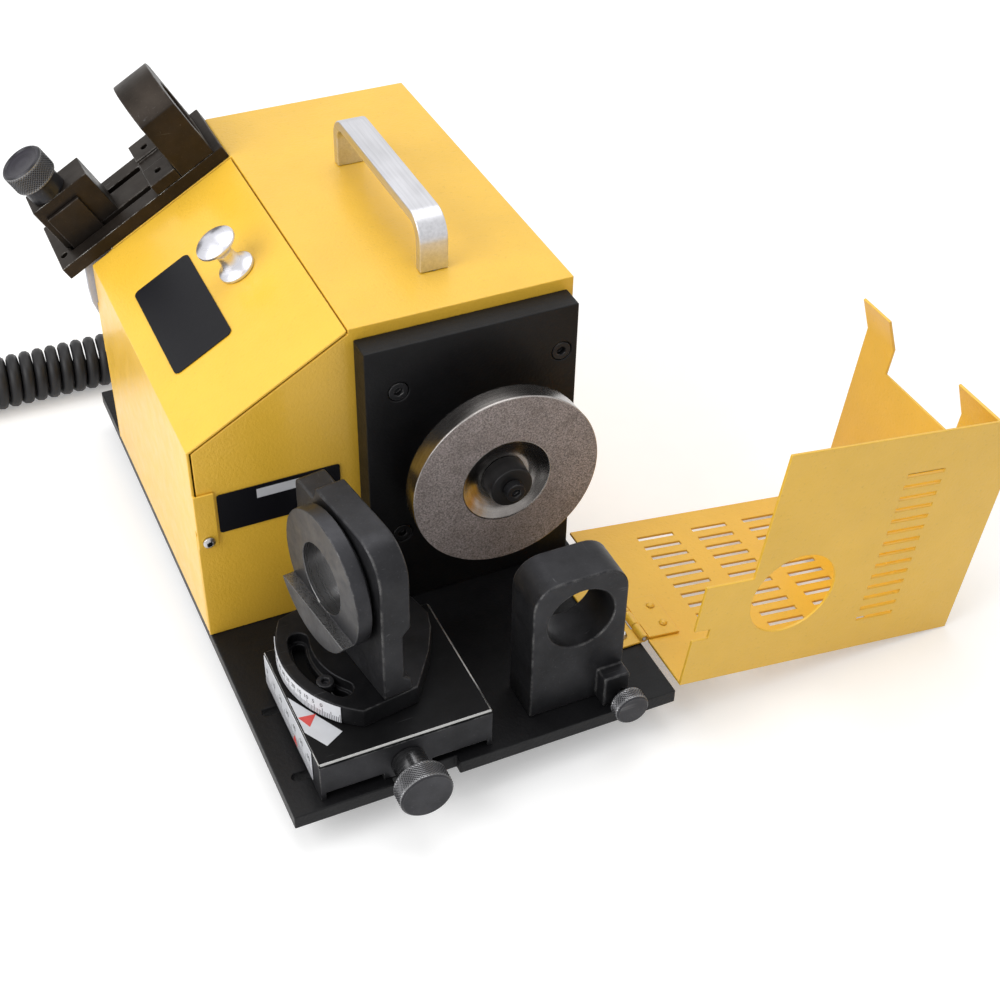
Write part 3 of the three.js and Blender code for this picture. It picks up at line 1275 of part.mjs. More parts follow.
// Tail ring block and thumbscrew
const tailCornerZ = TAIL_TOP_Z - TAIL_CORNER_RADIUS;
piece(
  "tail_ring",
  cut(
    join(
      flat(
        [
          [TAIL_LEFT, FLOOR],
          [TAIL_RIGHT, FLOOR],
          ...arc(TAIL_RIGHT - TAIL_CORNER_RADIUS, tailCornerZ, TAIL_CORNER_RADIUS, 0, Math.PI / 2, 8),
          ...arc(TAIL_LEFT + TAIL_CORNER_RADIUS, tailCornerZ, TAIL_CORNER_RADIUS, Math.PI / 2, Math.PI, 8),
        ],
        TAIL_BACK - TAIL_FRONT, "y", TAIL_FRONT,
      ),
      block(TAIL_RIGHT - LUG_WIDTH, TAIL_RIGHT, LUG_FRONT, TAIL_FRONT + OVERRUN, FLOOR, LUG_TOP_Z),
    ),
    rod(
      TAIL_BORE_RADIUS, TAIL_BACK - TAIL_FRONT + 2 * OVERRUN, "y",
      TAIL_BORE_X, TAIL_FRONT - OVERRUN, TAIL_BORE_Z, 48,
    ),
    rod(THUMB_STEM_RADIUS + SEAT, THUMB_STEM_REACH + OVERRUN, "y", THUMB_X, LUG_FRONT - OVERRUN, THUMB_Z, 16),
  ),
  BLACKENED,
);
piece(
  "thumbscrew",
  turned(
    [
      [0, 0],
      [THUMB_RADIUS - THUMB_BEVEL, 0],
      [THUMB_RADIUS, THUMB_BEVEL],
      [THUMB_RADIUS, THUMB_LENGTH - THUMB_BEVEL],
      [THUMB_RADIUS - THUMB_BEVEL, THUMB_LENGTH],
      [THUMB_STEM_RADIUS, THUMB_LENGTH],
      [THUMB_STEM_RADIUS, THUMB_LENGTH + THUMB_STEM_REACH],
      [0, THUMB_LENGTH + THUMB_STEM_REACH],
    ],
    "y", THUMB_X, THUMB_FACE_Y - THUMB_LENGTH, THUMB_Z, 24,
  ),
  BLACKENED,
);

// Guard, lying open on its hinge with the far end on the table
const guardFrame = new THREE.Group();
guardFrame.position.set(GUARD_EDGE_X, 0, BASE_THICKNESS);
guardFrame.rotation.y = GUARD_DROOP;
machine.add(guardFrame);
const hingeDx = HINGE_X - GUARD_EDGE_X;
const hingeDz = HINGE_Z - BASE_THICKNESS;
const hingeU = hingeDx * Math.cos(GUARD_DROOP) - hingeDz * Math.sin(GUARD_DROOP);
const hingeW = hingeDx * Math.sin(GUARD_DROOP) + hingeDz * Math.cos(GUARD_DROOP);
const hingeHoles = [HINGE_Y + HINGE_HOLE_INSET, HINGE_Y + HINGE_LENGTH - HINGE_HOLE_INSET];
const knuckle = HINGE_LENGTH / 3;
{
  const frontPanel = [
    [0, 0],
    [GUARD_LENGTH, 0],
    [GUARD_LENGTH, GUARD_HEIGHT],
    [GUARD_STEP, GUARD_HEIGHT],
    [GUARD_STEP, GUARD_LOW_HEIGHT],
    [0, GUARD_LOW_HEIGHT],
  ];
  const roof = [
    [GUARD_FRONT, 0],
    [GUARD_BACK, 0],
    [ROOF_BACK, ROOF_FOLD_W],
    [ROOF_NOTCH_BACK, ROOF_FOLD_W],
    [ROOF_NOTCH_BACK, ROOF_NOTCH_W],
    [ROOF_NOTCH_FRONT, ROOF_NOTCH_W],
    [ROOF_NOTCH_FRONT, ROOF_FOLD_W],
    [GUARD_FRONT, ROOF_FOLD_W],
  ];
  const lipSin = Math.sin(ROOF_LIP_ANGLE);
  const lipCos = Math.cos(ROOF_LIP_ANGLE);
  const lip = [
    [GUARD_LENGTH, ROOF_FOLD_W - SHEET * lipSin],
    [GUARD_LENGTH, ROOF_FOLD_W],
    [GUARD_LENGTH - ROOF_LIP * lipSin, ROOF_FOLD_W + ROOF_LIP * lipCos],
    [
      GUARD_LENGTH - ROOF_LIP * lipSin - SHEET * lipCos,
      ROOF_FOLD_W + ROOF_LIP * lipCos - SHEET * lipSin,
    ],
    [GUARD_LENGTH - SHEET, ROOF_FOLD_W - SHEET * lipSin],
  ];
  const grille = GRILLE_COLUMNS.flatMap((u) =>
    Array.from({ length: GRILLE_COUNT }, (_, i) => {
      const y = GRILLE_Y - i * GRILLE_PITCH;
      return block(
        u, u + GRILLE_LENGTH, y - GRILLE_WIDTH / 2, y + GRILLE_WIDTH / 2,
        -OVERRUN, SHEET + OVERRUN,
      );
    }),
  );
  const louvres = Array.from({ length: LOUVRE_COUNT }, (_, i) => {
    const w = LOUVRE_W + i * LOUVRE_PITCH;
    return block(
      LOUVRE_U, LOUVRE_U + LOUVRE_LENGTH, GUARD_FRONT - OVERRUN, GUARD_FRONT + SHEET + OVERRUN,
      w - LOUVRE_WIDTH / 2, w + LOUVRE_WIDTH / 2,
    );
  });
  const through = SHEET + 2 * OVERRUN;
  piece(
    "guard_sheet",
    cut(
      join(
        block(0, GUARD_LENGTH, GUARD_FRONT, GUARD_BACK, 0, SHEET),
        flat(frontPanel, SHEET, "y", GUARD_FRONT),
        flat(roof, SHEET, "x", GUARD_LENGTH - SHEET),
        flat(lip, ROOF_NOTCH_FRONT - GUARD_FRONT, "y", GUARD_FRONT),
        flat(lip, ROOF_BACK - ROOF_NOTCH_BACK, "y", ROOF_NOTCH_BACK),
      ),
      ...grille,
      ...louvres,
      rod(GUARD_PORT_RADIUS, through, "y", GUARD_PORT_U, GUARD_FRONT - OVERRUN, GUARD_PORT_W, 40),
      block(
        -OVERRUN, GUARD_CATCH_DEPTH, GUARD_FRONT - OVERRUN, GUARD_FRONT + SHEET + OVERRUN,
        GUARD_CATCH_W - GUARD_CATCH_WIDTH / 2, GUARD_CATCH_W + GUARD_CATCH_WIDTH / 2,
      ),
      block(
        -OVERRUN, hingeU + BARREL_RADIUS + RUN, HINGE_Y - RUN, HINGE_Y + HINGE_LENGTH + RUN,
        -OVERRUN, SHEET + OVERRUN,
      ),
      ...hingeHoles.map((y) => rod(RIVET_RADIUS / 2 + SEAT, through, "z", RIVET_U, y, -OVERRUN, 16)),
    ),
    YELLOW,
    guardFrame,
  );
  const leafLow = SHEET + SEAT;
  const leafHigh = leafLow + LEAF;
  const clear = BARREL_RADIUS + RUN;
  piece(
    "hinge_guard_leaf",
    cut(
      join(
        block(hingeU + clear, GUARD_LEAF_LENGTH, HINGE_Y, HINGE_Y + HINGE_LENGTH, leafLow, leafHigh),
        block(
          hingeU, hingeU + clear + RUN, HINGE_Y + knuckle + SEAT, HINGE_Y + 2 * knuckle - SEAT,
          leafLow, leafHigh,
        ),
        rod(BARREL_RADIUS, knuckle - 2 * SEAT, "y", hingeU, HINGE_Y + knuckle + SEAT, hingeW, 20),
      ),
      rod(PIN_RADIUS + SEAT, knuckle + 2 * OVERRUN, "y", hingeU, HINGE_Y + knuckle - OVERRUN, hingeW, 16),
      ...hingeHoles.map((y) =>
        rod(RIVET_RADIUS / 2 + SEAT, LEAF + 2 * OVERRUN, "z", RIVET_U, y, leafLow - OVERRUN, 16),
      ),
    ),
    YELLOW,
    guardFrame,
  );
  hingeHoles.forEach((y, i) =>
    piece(
      "guard_rivet_" + ["front", "rear"][i],
      turned(
        [
          [0, -SEAT - RIVET_HEAD],
          [RIVET_RADIUS, -SEAT - RIVET_HEAD],
          [RIVET_RADIUS, -SEAT],
          [RIVET_RADIUS / 2, -SEAT],
          [RIVET_RADIUS / 2, leafHigh + SEAT],
          [RIVET_RADIUS, leafHigh + SEAT],
          [RIVET_RADIUS / 2, leafHigh + SEAT + RIVET_HEAD],
          [0, leafHigh + SEAT + RIVET_HEAD],
        ],
        "z", RIVET_U, y, 0, 16,
      ),
      BRIGHT,
      guardFrame,
    ),
  );
}
{
  const clear = BARREL_RADIUS + RUN;
  const wing = (y0, y1) =>
    join(
      block(HINGE_X - clear - RUN, HINGE_X - PIN_RADIUS, y0, y1, FLOOR, FLOOR + LEAF),
      rod(BARREL_RADIUS, y1 - y0, "y", HINGE_X, y0, HINGE_Z, 20),
    );
  piece(
    "hinge_base_leaf",
    cut(
      join(
        block(
          BASE_WIDTH - BASE_LEAF_LENGTH, HINGE_X - clear, HINGE_Y, HINGE_Y + BASE_LEAF_REACH,
          FLOOR, FLOOR + LEAF,
        ),
        wing(HINGE_Y, HINGE_Y + knuckle),
        wing(HINGE_Y + 2 * knuckle, HINGE_Y + HINGE_LENGTH),
      ),
      rod(PIN_RADIUS + SEAT, HINGE_LENGTH + 2 * OVERRUN, "y", HINGE_X, HINGE_Y - OVERRUN, HINGE_Z, 16),
      rod(
        HINGE_SCREW_RADIUS + SEAT, LEAF + 2 * OVERRUN, "z",
        HINGE_SCREW_X, hingeHoles[0], FLOOR - OVERRUN, 16,
      ),
    ),
    YELLOW,
  );
  piece("hinge_pin", rod(PIN_RADIUS, HINGE_LENGTH, "y", HINGE_X, HINGE_Y, HINGE_Z, 16), BRIGHT);
  const screwFoot = FLOOR + LEAF + SEAT;
  piece(
    "hinge_screw",
    turned(
      [
        [0, -SEAT - LEAF],
        [HINGE_SCREW_RADIUS, -SEAT - LEAF],
        [HINGE_SCREW_RADIUS, 0],
        [HINGE_SCREW_HEAD_RADIUS, 0],
        [HINGE_SCREW_HEAD_RADIUS * HINGE_SCREW_TOP_SHARE, HINGE_SCREW_HEAD],
        [0, HINGE_SCREW_HEAD],
      ],
      "z", HINGE_SCREW_X, hingeHoles[0], screwFoot, 20,
    ),
    BRIGHT,
  );
}

// Setting fixture on the slope behind the side cover
{
  const back = SETTING_FRONT + SETTING_WIDTH;
  const half = SETTING_SLIDE_WIDTH / 2;
  const rearPad = SETTING_MIDDLE + half;
  const frontPad = SETTING_MIDDLE - half - SEAT - SETTING_PAD_THICKNESS;
  const grooveSide = (SETTING_GROOVE_WIDTH - SETTING_PAD_THICKNESS) / 2;
  const groove = (padY) =>
    block(
      SETTING_GROOVE_FROM, SETTING_GROOVE_TO, padY - grooveSide, padY + SETTING_PAD_THICKNESS + grooveSide,
      SETTING_RAIL - SETTING_GROOVE_DEPTH, SETTING_RAIL + OVERRUN,
    );
  piece(
    "setting_rail",
    cut(
      block(SETTING_FROM, SETTING_TO, SETTING_FRONT, back, SEAT, SETTING_RAIL),
      groove(frontPad),
      groove(rearPad),
      rod(
        SETTING_HOLE_RADIUS, SETTING_RAIL + 2 * OVERRUN, "z",
        SETTING_HOLE_S, frontPad, -OVERRUN, 16,
      ),
    ),
    BLACKENED,
    slopeFrame,
  );
  const onRail = SETTING_RAIL + SEAT;
  const stopMiddle = (STOP_FROM + STOP_TO) / 2;
  piece(
    "setting_stop",
    cut(
      block(STOP_FROM, STOP_TO, SETTING_FRONT, back, onRail, STOP_TOP),
      block(
        STOP_FROM - OVERRUN, STOP_TO + OVERRUN,
        SETTING_MIDDLE - STOP_CHANNEL_WIDTH / 2, SETTING_MIDDLE + STOP_CHANNEL_WIDTH / 2,
        STOP_TOP - STOP_CHANNEL_DEPTH, STOP_TOP + OVERRUN,
      ),
      ...[-1, 1].map((side) =>
        rod(
          SETTING_HOLE_RADIUS, STOP_TOP, "z",
          stopMiddle, SETTING_MIDDLE + side * STOP_HOLE_OFFSET, onRail - OVERRUN, 16,
        ),
      ),
    ),
    BLACKENED,
    slopeFrame,
  );
  const ringFrom = STOP_TO + SEAT;
  const thickness = SETTING_RING_TO - ringFrom;
  const flatTurn = Math.acos(SETTING_WIDTH / 2 / SETTING_RING_RADIUS);
  piece(
    "setting_ring",
    cut(
      flat(
        [
          [SETTING_FRONT, onRail],
          [back, onRail],
          ...arc(
            SETTING_MIDDLE, SETTING_RING_AXIS, SETTING_RING_RADIUS, flatTurn, Math.PI - flatTurn, 20,
          ),
        ],
        thickness, "x", ringFrom,
      ),
      rod(
        SETTING_BORE_RADIUS, thickness + 2 * OVERRUN, "x",
        ringFrom - OVERRUN, SETTING_MIDDLE, SETTING_RING_AXIS, 36,
      ),
    ),
    BLACKENED,
    slopeFrame,
  );
  const tongueLow = SETTING_RAIL - SETTING_GROOVE_DEPTH + SEAT;
  const pad = (y) =>
    block(SETTING_PAD_FROM, SETTING_PAD_TO, y, y + SETTING_PAD_THICKNESS, tongueLow, SETTING_PAD_TOP);
  piece(
    "setting_slide",
    cut(
      join(
        block(
          SETTING_SLIDE_FROM, SETTING_SLIDE_TO, SETTING_MIDDLE - half, SETTING_MIDDLE + half,
          onRail, SETTING_SLIDE_TOP,
        ),
        pad(rearPad),
      ),
      rod(
        SETTING_STUD_RADIUS + RUN, SETTING_SLIDE_TOP, "z",
        SETTING_KNOB_S, SETTING_MIDDLE, onRail - OVERRUN, 20,
      ),
    ),
    BLACKENED,
    slopeFrame,
  );
  piece("setting_pad", pad(frontPad), BLACKENED, slopeFrame);
  const collarEnd = SEAT + SETTING_COLLAR_LENGTH;
  const knobEnd = collarEnd + SETTING_KNOB_LENGTH;
  piece(
    "setting_knob",
    turned(
      [
        [0, -SETTING_STUD_LENGTH],
        [SETTING_STUD_RADIUS, -SETTING_STUD_LENGTH],
        [SETTING_STUD_RADIUS, SEAT],
        [SETTING_COLLAR_RADIUS, SEAT],
        [SETTING_COLLAR_RADIUS, collarEnd],
        [SETTING_KNOB_RADIUS - FEED_KNOB_BEVEL, collarEnd],
        [SETTING_KNOB_RADIUS, collarEnd + FEED_KNOB_BEVEL],
        [SETTING_KNOB_RADIUS, knobEnd - FEED_KNOB_BEVEL],
        [SETTING_KNOB_RADIUS - FEED_KNOB_BEVEL, knobEnd],
        [0, knobEnd],
      ],
      "z", SETTING_KNOB_S, SETTING_MIDDLE, SETTING_SLIDE_TOP, 28,
    ),
    BLACKENED,
    slopeFrame,
  );
}
{
  const right = REAR_LEFT_X - SEAT;
  const span = right - GUSSET_LEFT;
  const tall = slopeZ(right, 0) - GUSSET_LOW_Z;
  piece(
    "fixture_gusset",
    flat(
      [
        [right, slopeZ(right, 0)],
        [GUSSET_LEFT, slopeZ(GUSSET_LEFT, 0)],
        ...GUSSET_SHARES.map(([a, b]) => [GUSSET_LEFT + a * span, GUSSET_LOW_Z + b * tall]),
        [right, GUSSET_LOW_Z],
      ],
      GUSSET_THICKNESS, "y", COVER_BACK + GUSSET_GAP,
    ),
    GREY_SHEET,
  );
}

// Power switch on the back wall
{
  const face = HOUSING_BACK + SEAT;
  const w = SWITCH_WIDTH / 2;
  const h = SWITCH_HEIGHT / 2;
  const inset = SWITCH_BODY_INSET + SEAT;
  const pocketZ = ROCKER_HEIGHT / 2 + SWITCH_RIM / 2;
  const pocketX = ROCKER_WIDTH / 2 + SEAT;
  piece(
    "switch_frame",
    cut(
      join(
        block(SWITCH_X - w, SWITCH_X + w, face, face + SWITCH_RIM, SWITCH_Z - h, SWITCH_Z + h),
        block(
          SWITCH_X - w + inset, SWITCH_X + w - inset, face - SWITCH_DEPTH, face + SWITCH_RIM / 2,
          SWITCH_Z - h + inset, SWITCH_Z + h - inset,
        ),
      ),
      block(
        SWITCH_X - pocketX, SWITCH_X + pocketX,
        face - SWITCH_DEPTH * SWITCH_POCKET_SHARE, face + SWITCH_RIM + OVERRUN,
        SWITCH_Z - pocketZ, SWITCH_Z + pocketZ,
      ),
    ),
    PLASTIC,
  );
  const half = ROCKER_HEIGHT / 2;
  const rocker = piece(
    "power_rocker",
    flat(
      [
        [-ROCKER_DEPTH, -half * ROCKER_BACK_SHARE],
        [ROCKER_PROUD, -half],
        [ROCKER_PROUD * ROCKER_DIP_SHARE, 0],
        [ROCKER_PROUD, half],
        [-ROCKER_DEPTH, half * ROCKER_BACK_SHARE],
      ],
      ROCKER_WIDTH, "x", -ROCKER_WIDTH / 2,
    ),
    PLASTIC,
  );
  rocker.position.set(SWITCH_X, face, SWITCH_Z);
  rocker.rotation.x = ROCKER_TILT;
}

// Mains lead
const glandEnd = HOUSING_BACK + SEAT + GLAND_LENGTH;
piece(
  "cord_gland",
  turned(
    [
      [0, -OVERRUN - SHEET],
      [GLAND_STEM_RADIUS, -OVERRUN - SHEET],
      [GLAND_STEM_RADIUS, SEAT],
      [GLAND_RADIUS, SEAT],
      [GLAND_RADIUS, GLAND_LENGTH * GLAND_COLLAR_SHARE],
      [GLAND_STEM_RADIUS + SEAT, GLAND_LENGTH * GLAND_TAPER_SHARE],
      [GLAND_STEM_RADIUS, GLAND_LENGTH + SEAT],
      [0, GLAND_LENGTH + SEAT],
    ],
    "y", GLAND_X, HOUSING_BACK, GLAND_Z, 24,
  ),
  RUBBER,
);

// A tube of round section through points, closed at both ends
function tube(points, radius, sides) {
  const positions = [];
  const index = [];
  const side = new THREE.Vector3(0, 0, 1);
  points.forEach((p, i) => {
    const before = points[Math.max(i - 1, 0)];
    const after = points[Math.min(i + 1, points.length - 1)];
    const along = after.clone().sub(before).normalize();
    side.addScaledVector(along, -side.dot(along)).normalize();
    const other = along.clone().cross(side);
    for (let k = 0; k < sides; k++) {
      const a = (2 * Math.PI * k) / sides;
      const q = p.clone();
      q.addScaledVector(side, radius * Math.cos(a));
      q.addScaledVector(other, radius * Math.sin(a));
      positions.push(q.x, q.y, q.z);
    }
  });
  const last = points.length - 1;
  for (let i = 0; i < last; i++)
    for (let k = 0; k < sides; k++) {
      const a = i * sides + k;
      const b = i * sides + ((k + 1) % sides);
      index.push(a, b, b + sides, a, b + sides, a + sides);
    }
  for (let k = 1; k < sides - 1; k++) {
    index.push(0, k + 1, k);
    index.push(last * sides, last * sides + k, last * sides + k + 1);
  }
  const g = new THREE.BufferGeometry();
  g.setAttribute("position", new THREE.Float32BufferAttribute(positions, 3));
  g.setIndex(index);
  return solidOf(g);
}
{
  const low = CABLE_LIFT - FOOT_HEIGHT;
  const coilZ = low + CURL_RADIUS + CABLE_RADIUS;
  const plugZ = low + PLUG_HEIGHT / 2;
  const straight = 2 * CABLE_RADIUS;
  const start = new THREE.Vector3(GLAND_X, glandEnd + 2 * SEAT, GLAND_Z);
  const out = start.clone().add(new THREE.Vector3(0, straight, 0));
  const coilStart = new THREE.Vector3(GLAND_X - COIL_OFFSET, COIL_Y, coilZ);
  const lead = new THREE.CubicBezierCurve3(
    out,
    out.clone().add(new THREE.Vector3(0, LEAD_BEND, 0)),
    coilStart.clone().add(new THREE.Vector3(LEAD_BEND, 0, 0)),
    coilStart,
  );
  const points = [start, ...lead.getSpacedPoints(LEAD_STEPS)];
  const steps = CURL_COUNT * CURL_STEPS;
  for (let i = 1; i <= steps; i++) {
    const ramp = Math.min(1, i / CURL_STEPS, (steps - i) / CURL_STEPS);
    const r = CURL_RADIUS * Math.sin((ramp * Math.PI) / 2);
    const a = (2 * Math.PI * i) / CURL_STEPS;
    points.push(
      new THREE.Vector3(
        coilStart.x - (i * CURL_PITCH) / CURL_STEPS,
        COIL_Y + r * Math.cos(a),
        coilZ + r * Math.sin(a),
      ),
    );
  }
  const coilEnd = points[points.length - 1];
  const plugBack = new THREE.Vector3(coilEnd.x - TAIL_LENGTH, COIL_Y, plugZ);
  const tail = new THREE.CubicBezierCurve3(
    coilEnd,
    coilEnd.clone().add(new THREE.Vector3(-TAIL_LENGTH / 3, 0, 0)),
    plugBack.clone().add(new THREE.Vector3(TAIL_LENGTH / 3 + straight, 0, 0)),
    plugBack.clone().add(new THREE.Vector3(straight, 0, 0)),
  );
  points.push(...tail.getSpacedPoints(LEAD_STEPS).slice(1), plugBack);
  piece("curly_cord", tube(points, CABLE_RADIUS, 5), RUBBER);
  let length = 0;
  let least = Infinity;
  points.forEach((p, i) => {
    if (i) length += p.distanceTo(points[i - 1]);
    for (let j = i + CURL_STEPS - 1; j < points.length; j++)
      least = Math.min(least, p.distanceTo(points[j]) - 2 * CABLE_RADIUS);
  });
  console.log("lead length " + length.toFixed(0) + " mm, least gap to itself " + least.toFixed(2) + " mm");

  const neckFrom = plugBack.x - SEAT;
  const bodyFrom = neckFrom - PLUG_NECK_LENGTH;
  const plugSide = (side) =>
    PLUG_SHARES.map(([a, b]) => [bodyFrom - PLUG_LENGTH * a, COIL_Y + (side * PLUG_WIDTH * b) / 2]);
  const pins = [-1, 1].map((s) =>
    rod(PLUG_PIN_RADIUS, PLUG_PIN_LENGTH + OVERRUN, "x",
      bodyFrom - PLUG_LENGTH - PLUG_PIN_LENGTH, COIL_Y + (s * PLUG_PIN_SPACING) / 2, plugZ, 16),
  );
  piece(
    "plug",
    join(
      turned(
        [
          [0, 0],
          [PLUG_NECK_RADIUS * PLUG_NECK_FLARE_SHARE, 0],
          [PLUG_NECK_RADIUS, PLUG_NECK_LENGTH + OVERRUN],
          [0, PLUG_NECK_LENGTH + OVERRUN],
        ],
        "x", bodyFrom - OVERRUN, COIL_Y, plugZ, 20,
      ),
      flat(
        [...plugSide(-1), ...plugSide(1).reverse()],
        PLUG_HEIGHT, "z", plugZ - PLUG_HEIGHT / 2,
      ),
      ...pins,
    ),
    PLASTIC,
  );
}

// The origin: on the table, under the middle of the machine's extents without the lead
machine.updateMatrixWorld(true);
const extents = new THREE.Box3();
machine.traverse((o) => {
  if (o.isMesh && o.name !== "curly_cord" && o.name !== "plug") extents.expandByObject(o, true);
});
const middle = extents.getCenter(new THREE.Vector3());
machine.position.set(-middle.x, -middle.y, FOOT_HEIGHT);

const part = new THREE.Group();
part.add(machine);
export default part;
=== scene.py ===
"""Visual model of a bench machine for regrinding screw taps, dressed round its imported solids."""

import json
import math

import bpy
from bpy.props import FloatProperty, FloatVectorProperty, IntProperty, PointerProperty
from bpy.types import Operator, Panel, PropertyGroup
from mathutils import Matrix, Vector


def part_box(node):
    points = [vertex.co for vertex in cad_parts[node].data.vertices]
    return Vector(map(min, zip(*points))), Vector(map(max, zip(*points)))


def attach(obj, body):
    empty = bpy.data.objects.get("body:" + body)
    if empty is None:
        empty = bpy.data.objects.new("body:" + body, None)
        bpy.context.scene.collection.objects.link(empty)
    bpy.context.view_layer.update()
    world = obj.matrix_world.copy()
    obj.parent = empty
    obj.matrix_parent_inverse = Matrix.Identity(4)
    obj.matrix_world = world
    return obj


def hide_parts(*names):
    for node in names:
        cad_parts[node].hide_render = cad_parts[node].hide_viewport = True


bl_info = {
    "name": "Tap grinding machine",
    "version": (1, 0, 0),
    "blender": (4, 5, 0),
    "location": "3D View > Sidebar > Tap Grinder",
    "description": "Dresses a bench tap grinding machine with its paints, steels, foils and lead",
    "category": "Object",
}

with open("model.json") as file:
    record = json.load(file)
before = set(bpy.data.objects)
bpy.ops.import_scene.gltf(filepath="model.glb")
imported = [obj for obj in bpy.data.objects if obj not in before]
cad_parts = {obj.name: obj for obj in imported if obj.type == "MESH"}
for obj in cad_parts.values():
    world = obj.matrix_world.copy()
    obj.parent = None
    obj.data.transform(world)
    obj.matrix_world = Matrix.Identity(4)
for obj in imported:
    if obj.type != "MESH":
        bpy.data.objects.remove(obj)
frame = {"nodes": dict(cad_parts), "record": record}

# Places, in millimetres from the base plate's front left lower corner

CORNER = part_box("base_plate")[0]
SLOPE = math.atan2(47.5, 82.0)  # of the left side of the housing
FOLD_HEIGHT = 127.5  # where the slope starts
SWIVEL = math.radians(8.5)  # of the work head at rest
PIVOT = (71.2, 63.2)  # the work head turns about it
WHEEL_FACE = (144.0, 83.5, 98.5)  # middle of the wheel's front
PLATE_TOP = 32.3  # of the feed slide
SETTING_KNOB = (6, 332.3)  # along the slope and back
LEAD_HEIGHT = 24  # where the lead leaves the housing
BENCH = -16.0  # under the rubber feet
BACK = (0, 1, 0)


def at(x, y, z):
    """A point of the machine."""
    return CORNER + Vector((x, y, z)) / 1000


def on_slope(s, y, n):
    """A point along the sloped side from its fold, and out from it."""
    c, d = math.cos(SLOPE), math.sin(SLOPE)
    return at(s * c - n * d, y, FOLD_HEIGHT + s * d + n * c)


def on_head(k, v, z):
    """A point of the work head, from its pivot."""
    c, d = math.cos(SWIVEL), math.sin(SWIVEL)
    return at(PIVOT[0] + k * c - v * d, PIVOT[1] + k * d + v * c, z)


SLOPE_NORMAL = Vector((-math.sin(SLOPE), 0, math.cos(SLOPE)))
HEAD_AXIS = Vector((math.cos(SWIVEL), math.sin(SWIVEL), 0))
COVER_KNOB_FOOT = on_slope(65.8, 221.6, 0)
RING_CENTRE = on_head(-30, -2.8, 96.6)
FEED_AXIS = at(58.3, 0, 17)


# Modelling helpers


def put(name, data):
    """A new object in the scene."""
    obj = bpy.data.objects.new(name, data)
    bpy.context.scene.collection.objects.link(obj)
    return obj


def alone(obj):
    """Selects one object and nothing else."""
    if bpy.context.mode != "OBJECT":
        bpy.ops.object.mode_set(mode="OBJECT")
    bpy.ops.object.select_all(action="DESELECT")
    obj.select_set(True)
    bpy.context.view_layer.objects.active = obj
    return obj


def pick(obj, kind="FACE", test=None):
    """Opens an object in edit mode with the faces or edges that pass the test selected."""
    alone(obj)
    mesh = obj.data
    bpy.ops.object.mode_set(mode="EDIT")
    bpy.ops.mesh.select_mode(type=kind)
    bpy.ops.mesh.select_all(action="DESELECT")
    bpy.ops.object.mode_set(mode="OBJECT")
    if kind == "FACE":
        for f in mesh.polygons:
            f.select = bool(test(f))
    else:
        for e in mesh.edges:
            a, b = (mesh.vertices[i].co for i in e.vertices)
            e.select = bool(test(a, b))
    bpy.ops.object.mode_set(mode="EDIT")


def whole(obj):
    """Opens an object in edit mode with all of it selected."""
    alone(obj)
    bpy.ops.object.mode_set(mode="EDIT")
    bpy.ops.mesh.select_mode(type="FACE")
    bpy.ops.mesh.select_all(action="SELECT")


def close():
    bpy.ops.object.mode_set(mode="OBJECT")


def smooth(obj, degrees=38):
    """Smooths curved faces and keeps the large flat ones flat."""
    alone(obj)
    bpy.ops.object.shade_smooth_by_angle(angle=math.radians(degrees))
    m = obj.modifiers.new("flats", "WEIGHTED_NORMAL")
    m.mode = "FACE_AREA"
    m.keep_sharp = True
    bpy.ops.object.modifier_apply(modifier=m.name)


def bevel(obj, width, segments=2):
    """Rounds the edges of a piece, with the width in millimetres."""
    m = obj.modifiers.new("rounding", "BEVEL")
    m.width = width / 1000
    m.segments = segments
    m.limit_method = "ANGLE"
    m.angle_limit = math.radians(30)
    m.use_clamp_overlap = False
    alone(obj)
    bpy.ops.object.modifier_apply(modifier=m.name)


def settle(obj):
    """Puts a piece's place into its mesh."""
    alone(obj)
    bpy.ops.object.transform_apply(location=True, rotation=True, scale=True)


def stand(obj, place, along):
    """Turns a piece made along +Z so that it runs along a direction from a place."""
    turn = Vector((0, 0, 1)).rotation_difference(Vector(along)).to_matrix().to_4x4()
    obj.matrix_world = Matrix.Translation(Vector(place)) @ turn
    settle(obj)


def wear(obj, look):
    """Gives a whole piece the finish of that name."""
    obj.data.materials.clear()
    obj.data.materials.append(finish(look))


def wear_on_faces(obj, look, test):
    """One more finish, for the faces of a piece that pass a test."""
    obj.data.materials.append(finish(look))
    for face in obj.data.polygons:
        if test(face):
            face.material_index = len(obj.data.materials) - 1


def fit(obj, name, body, look, slot, *nodes):
    """Names a finished piece, gives it its look and puts it on its body in place of its solids.

    With no look named, it keeps the finishes that it has.
    """
    obj.name = obj.data.name = name
    if look is not None:
        wear(obj, look)
    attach(obj, body)
    if nodes:
        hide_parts(*nodes)
    return obj


def body_of(node):
    for name, members in frame["record"]["behaviour"]["bodies"].items():
        if node in members:
            return name
    raise RuntimeError("no body holds " + node)


def slot_of(node):
    for row in frame["record"]["subparts"]:
        if row["node"] == node:
            return row["material_slot"]
    raise RuntimeError("no slot is named for " + node)


def stand_for(obj, node, look):
    """Puts a finished piece on its body in place of one solid."""
    return fit(obj, node + "_finished", body_of(node), look, slot_of(node), node)


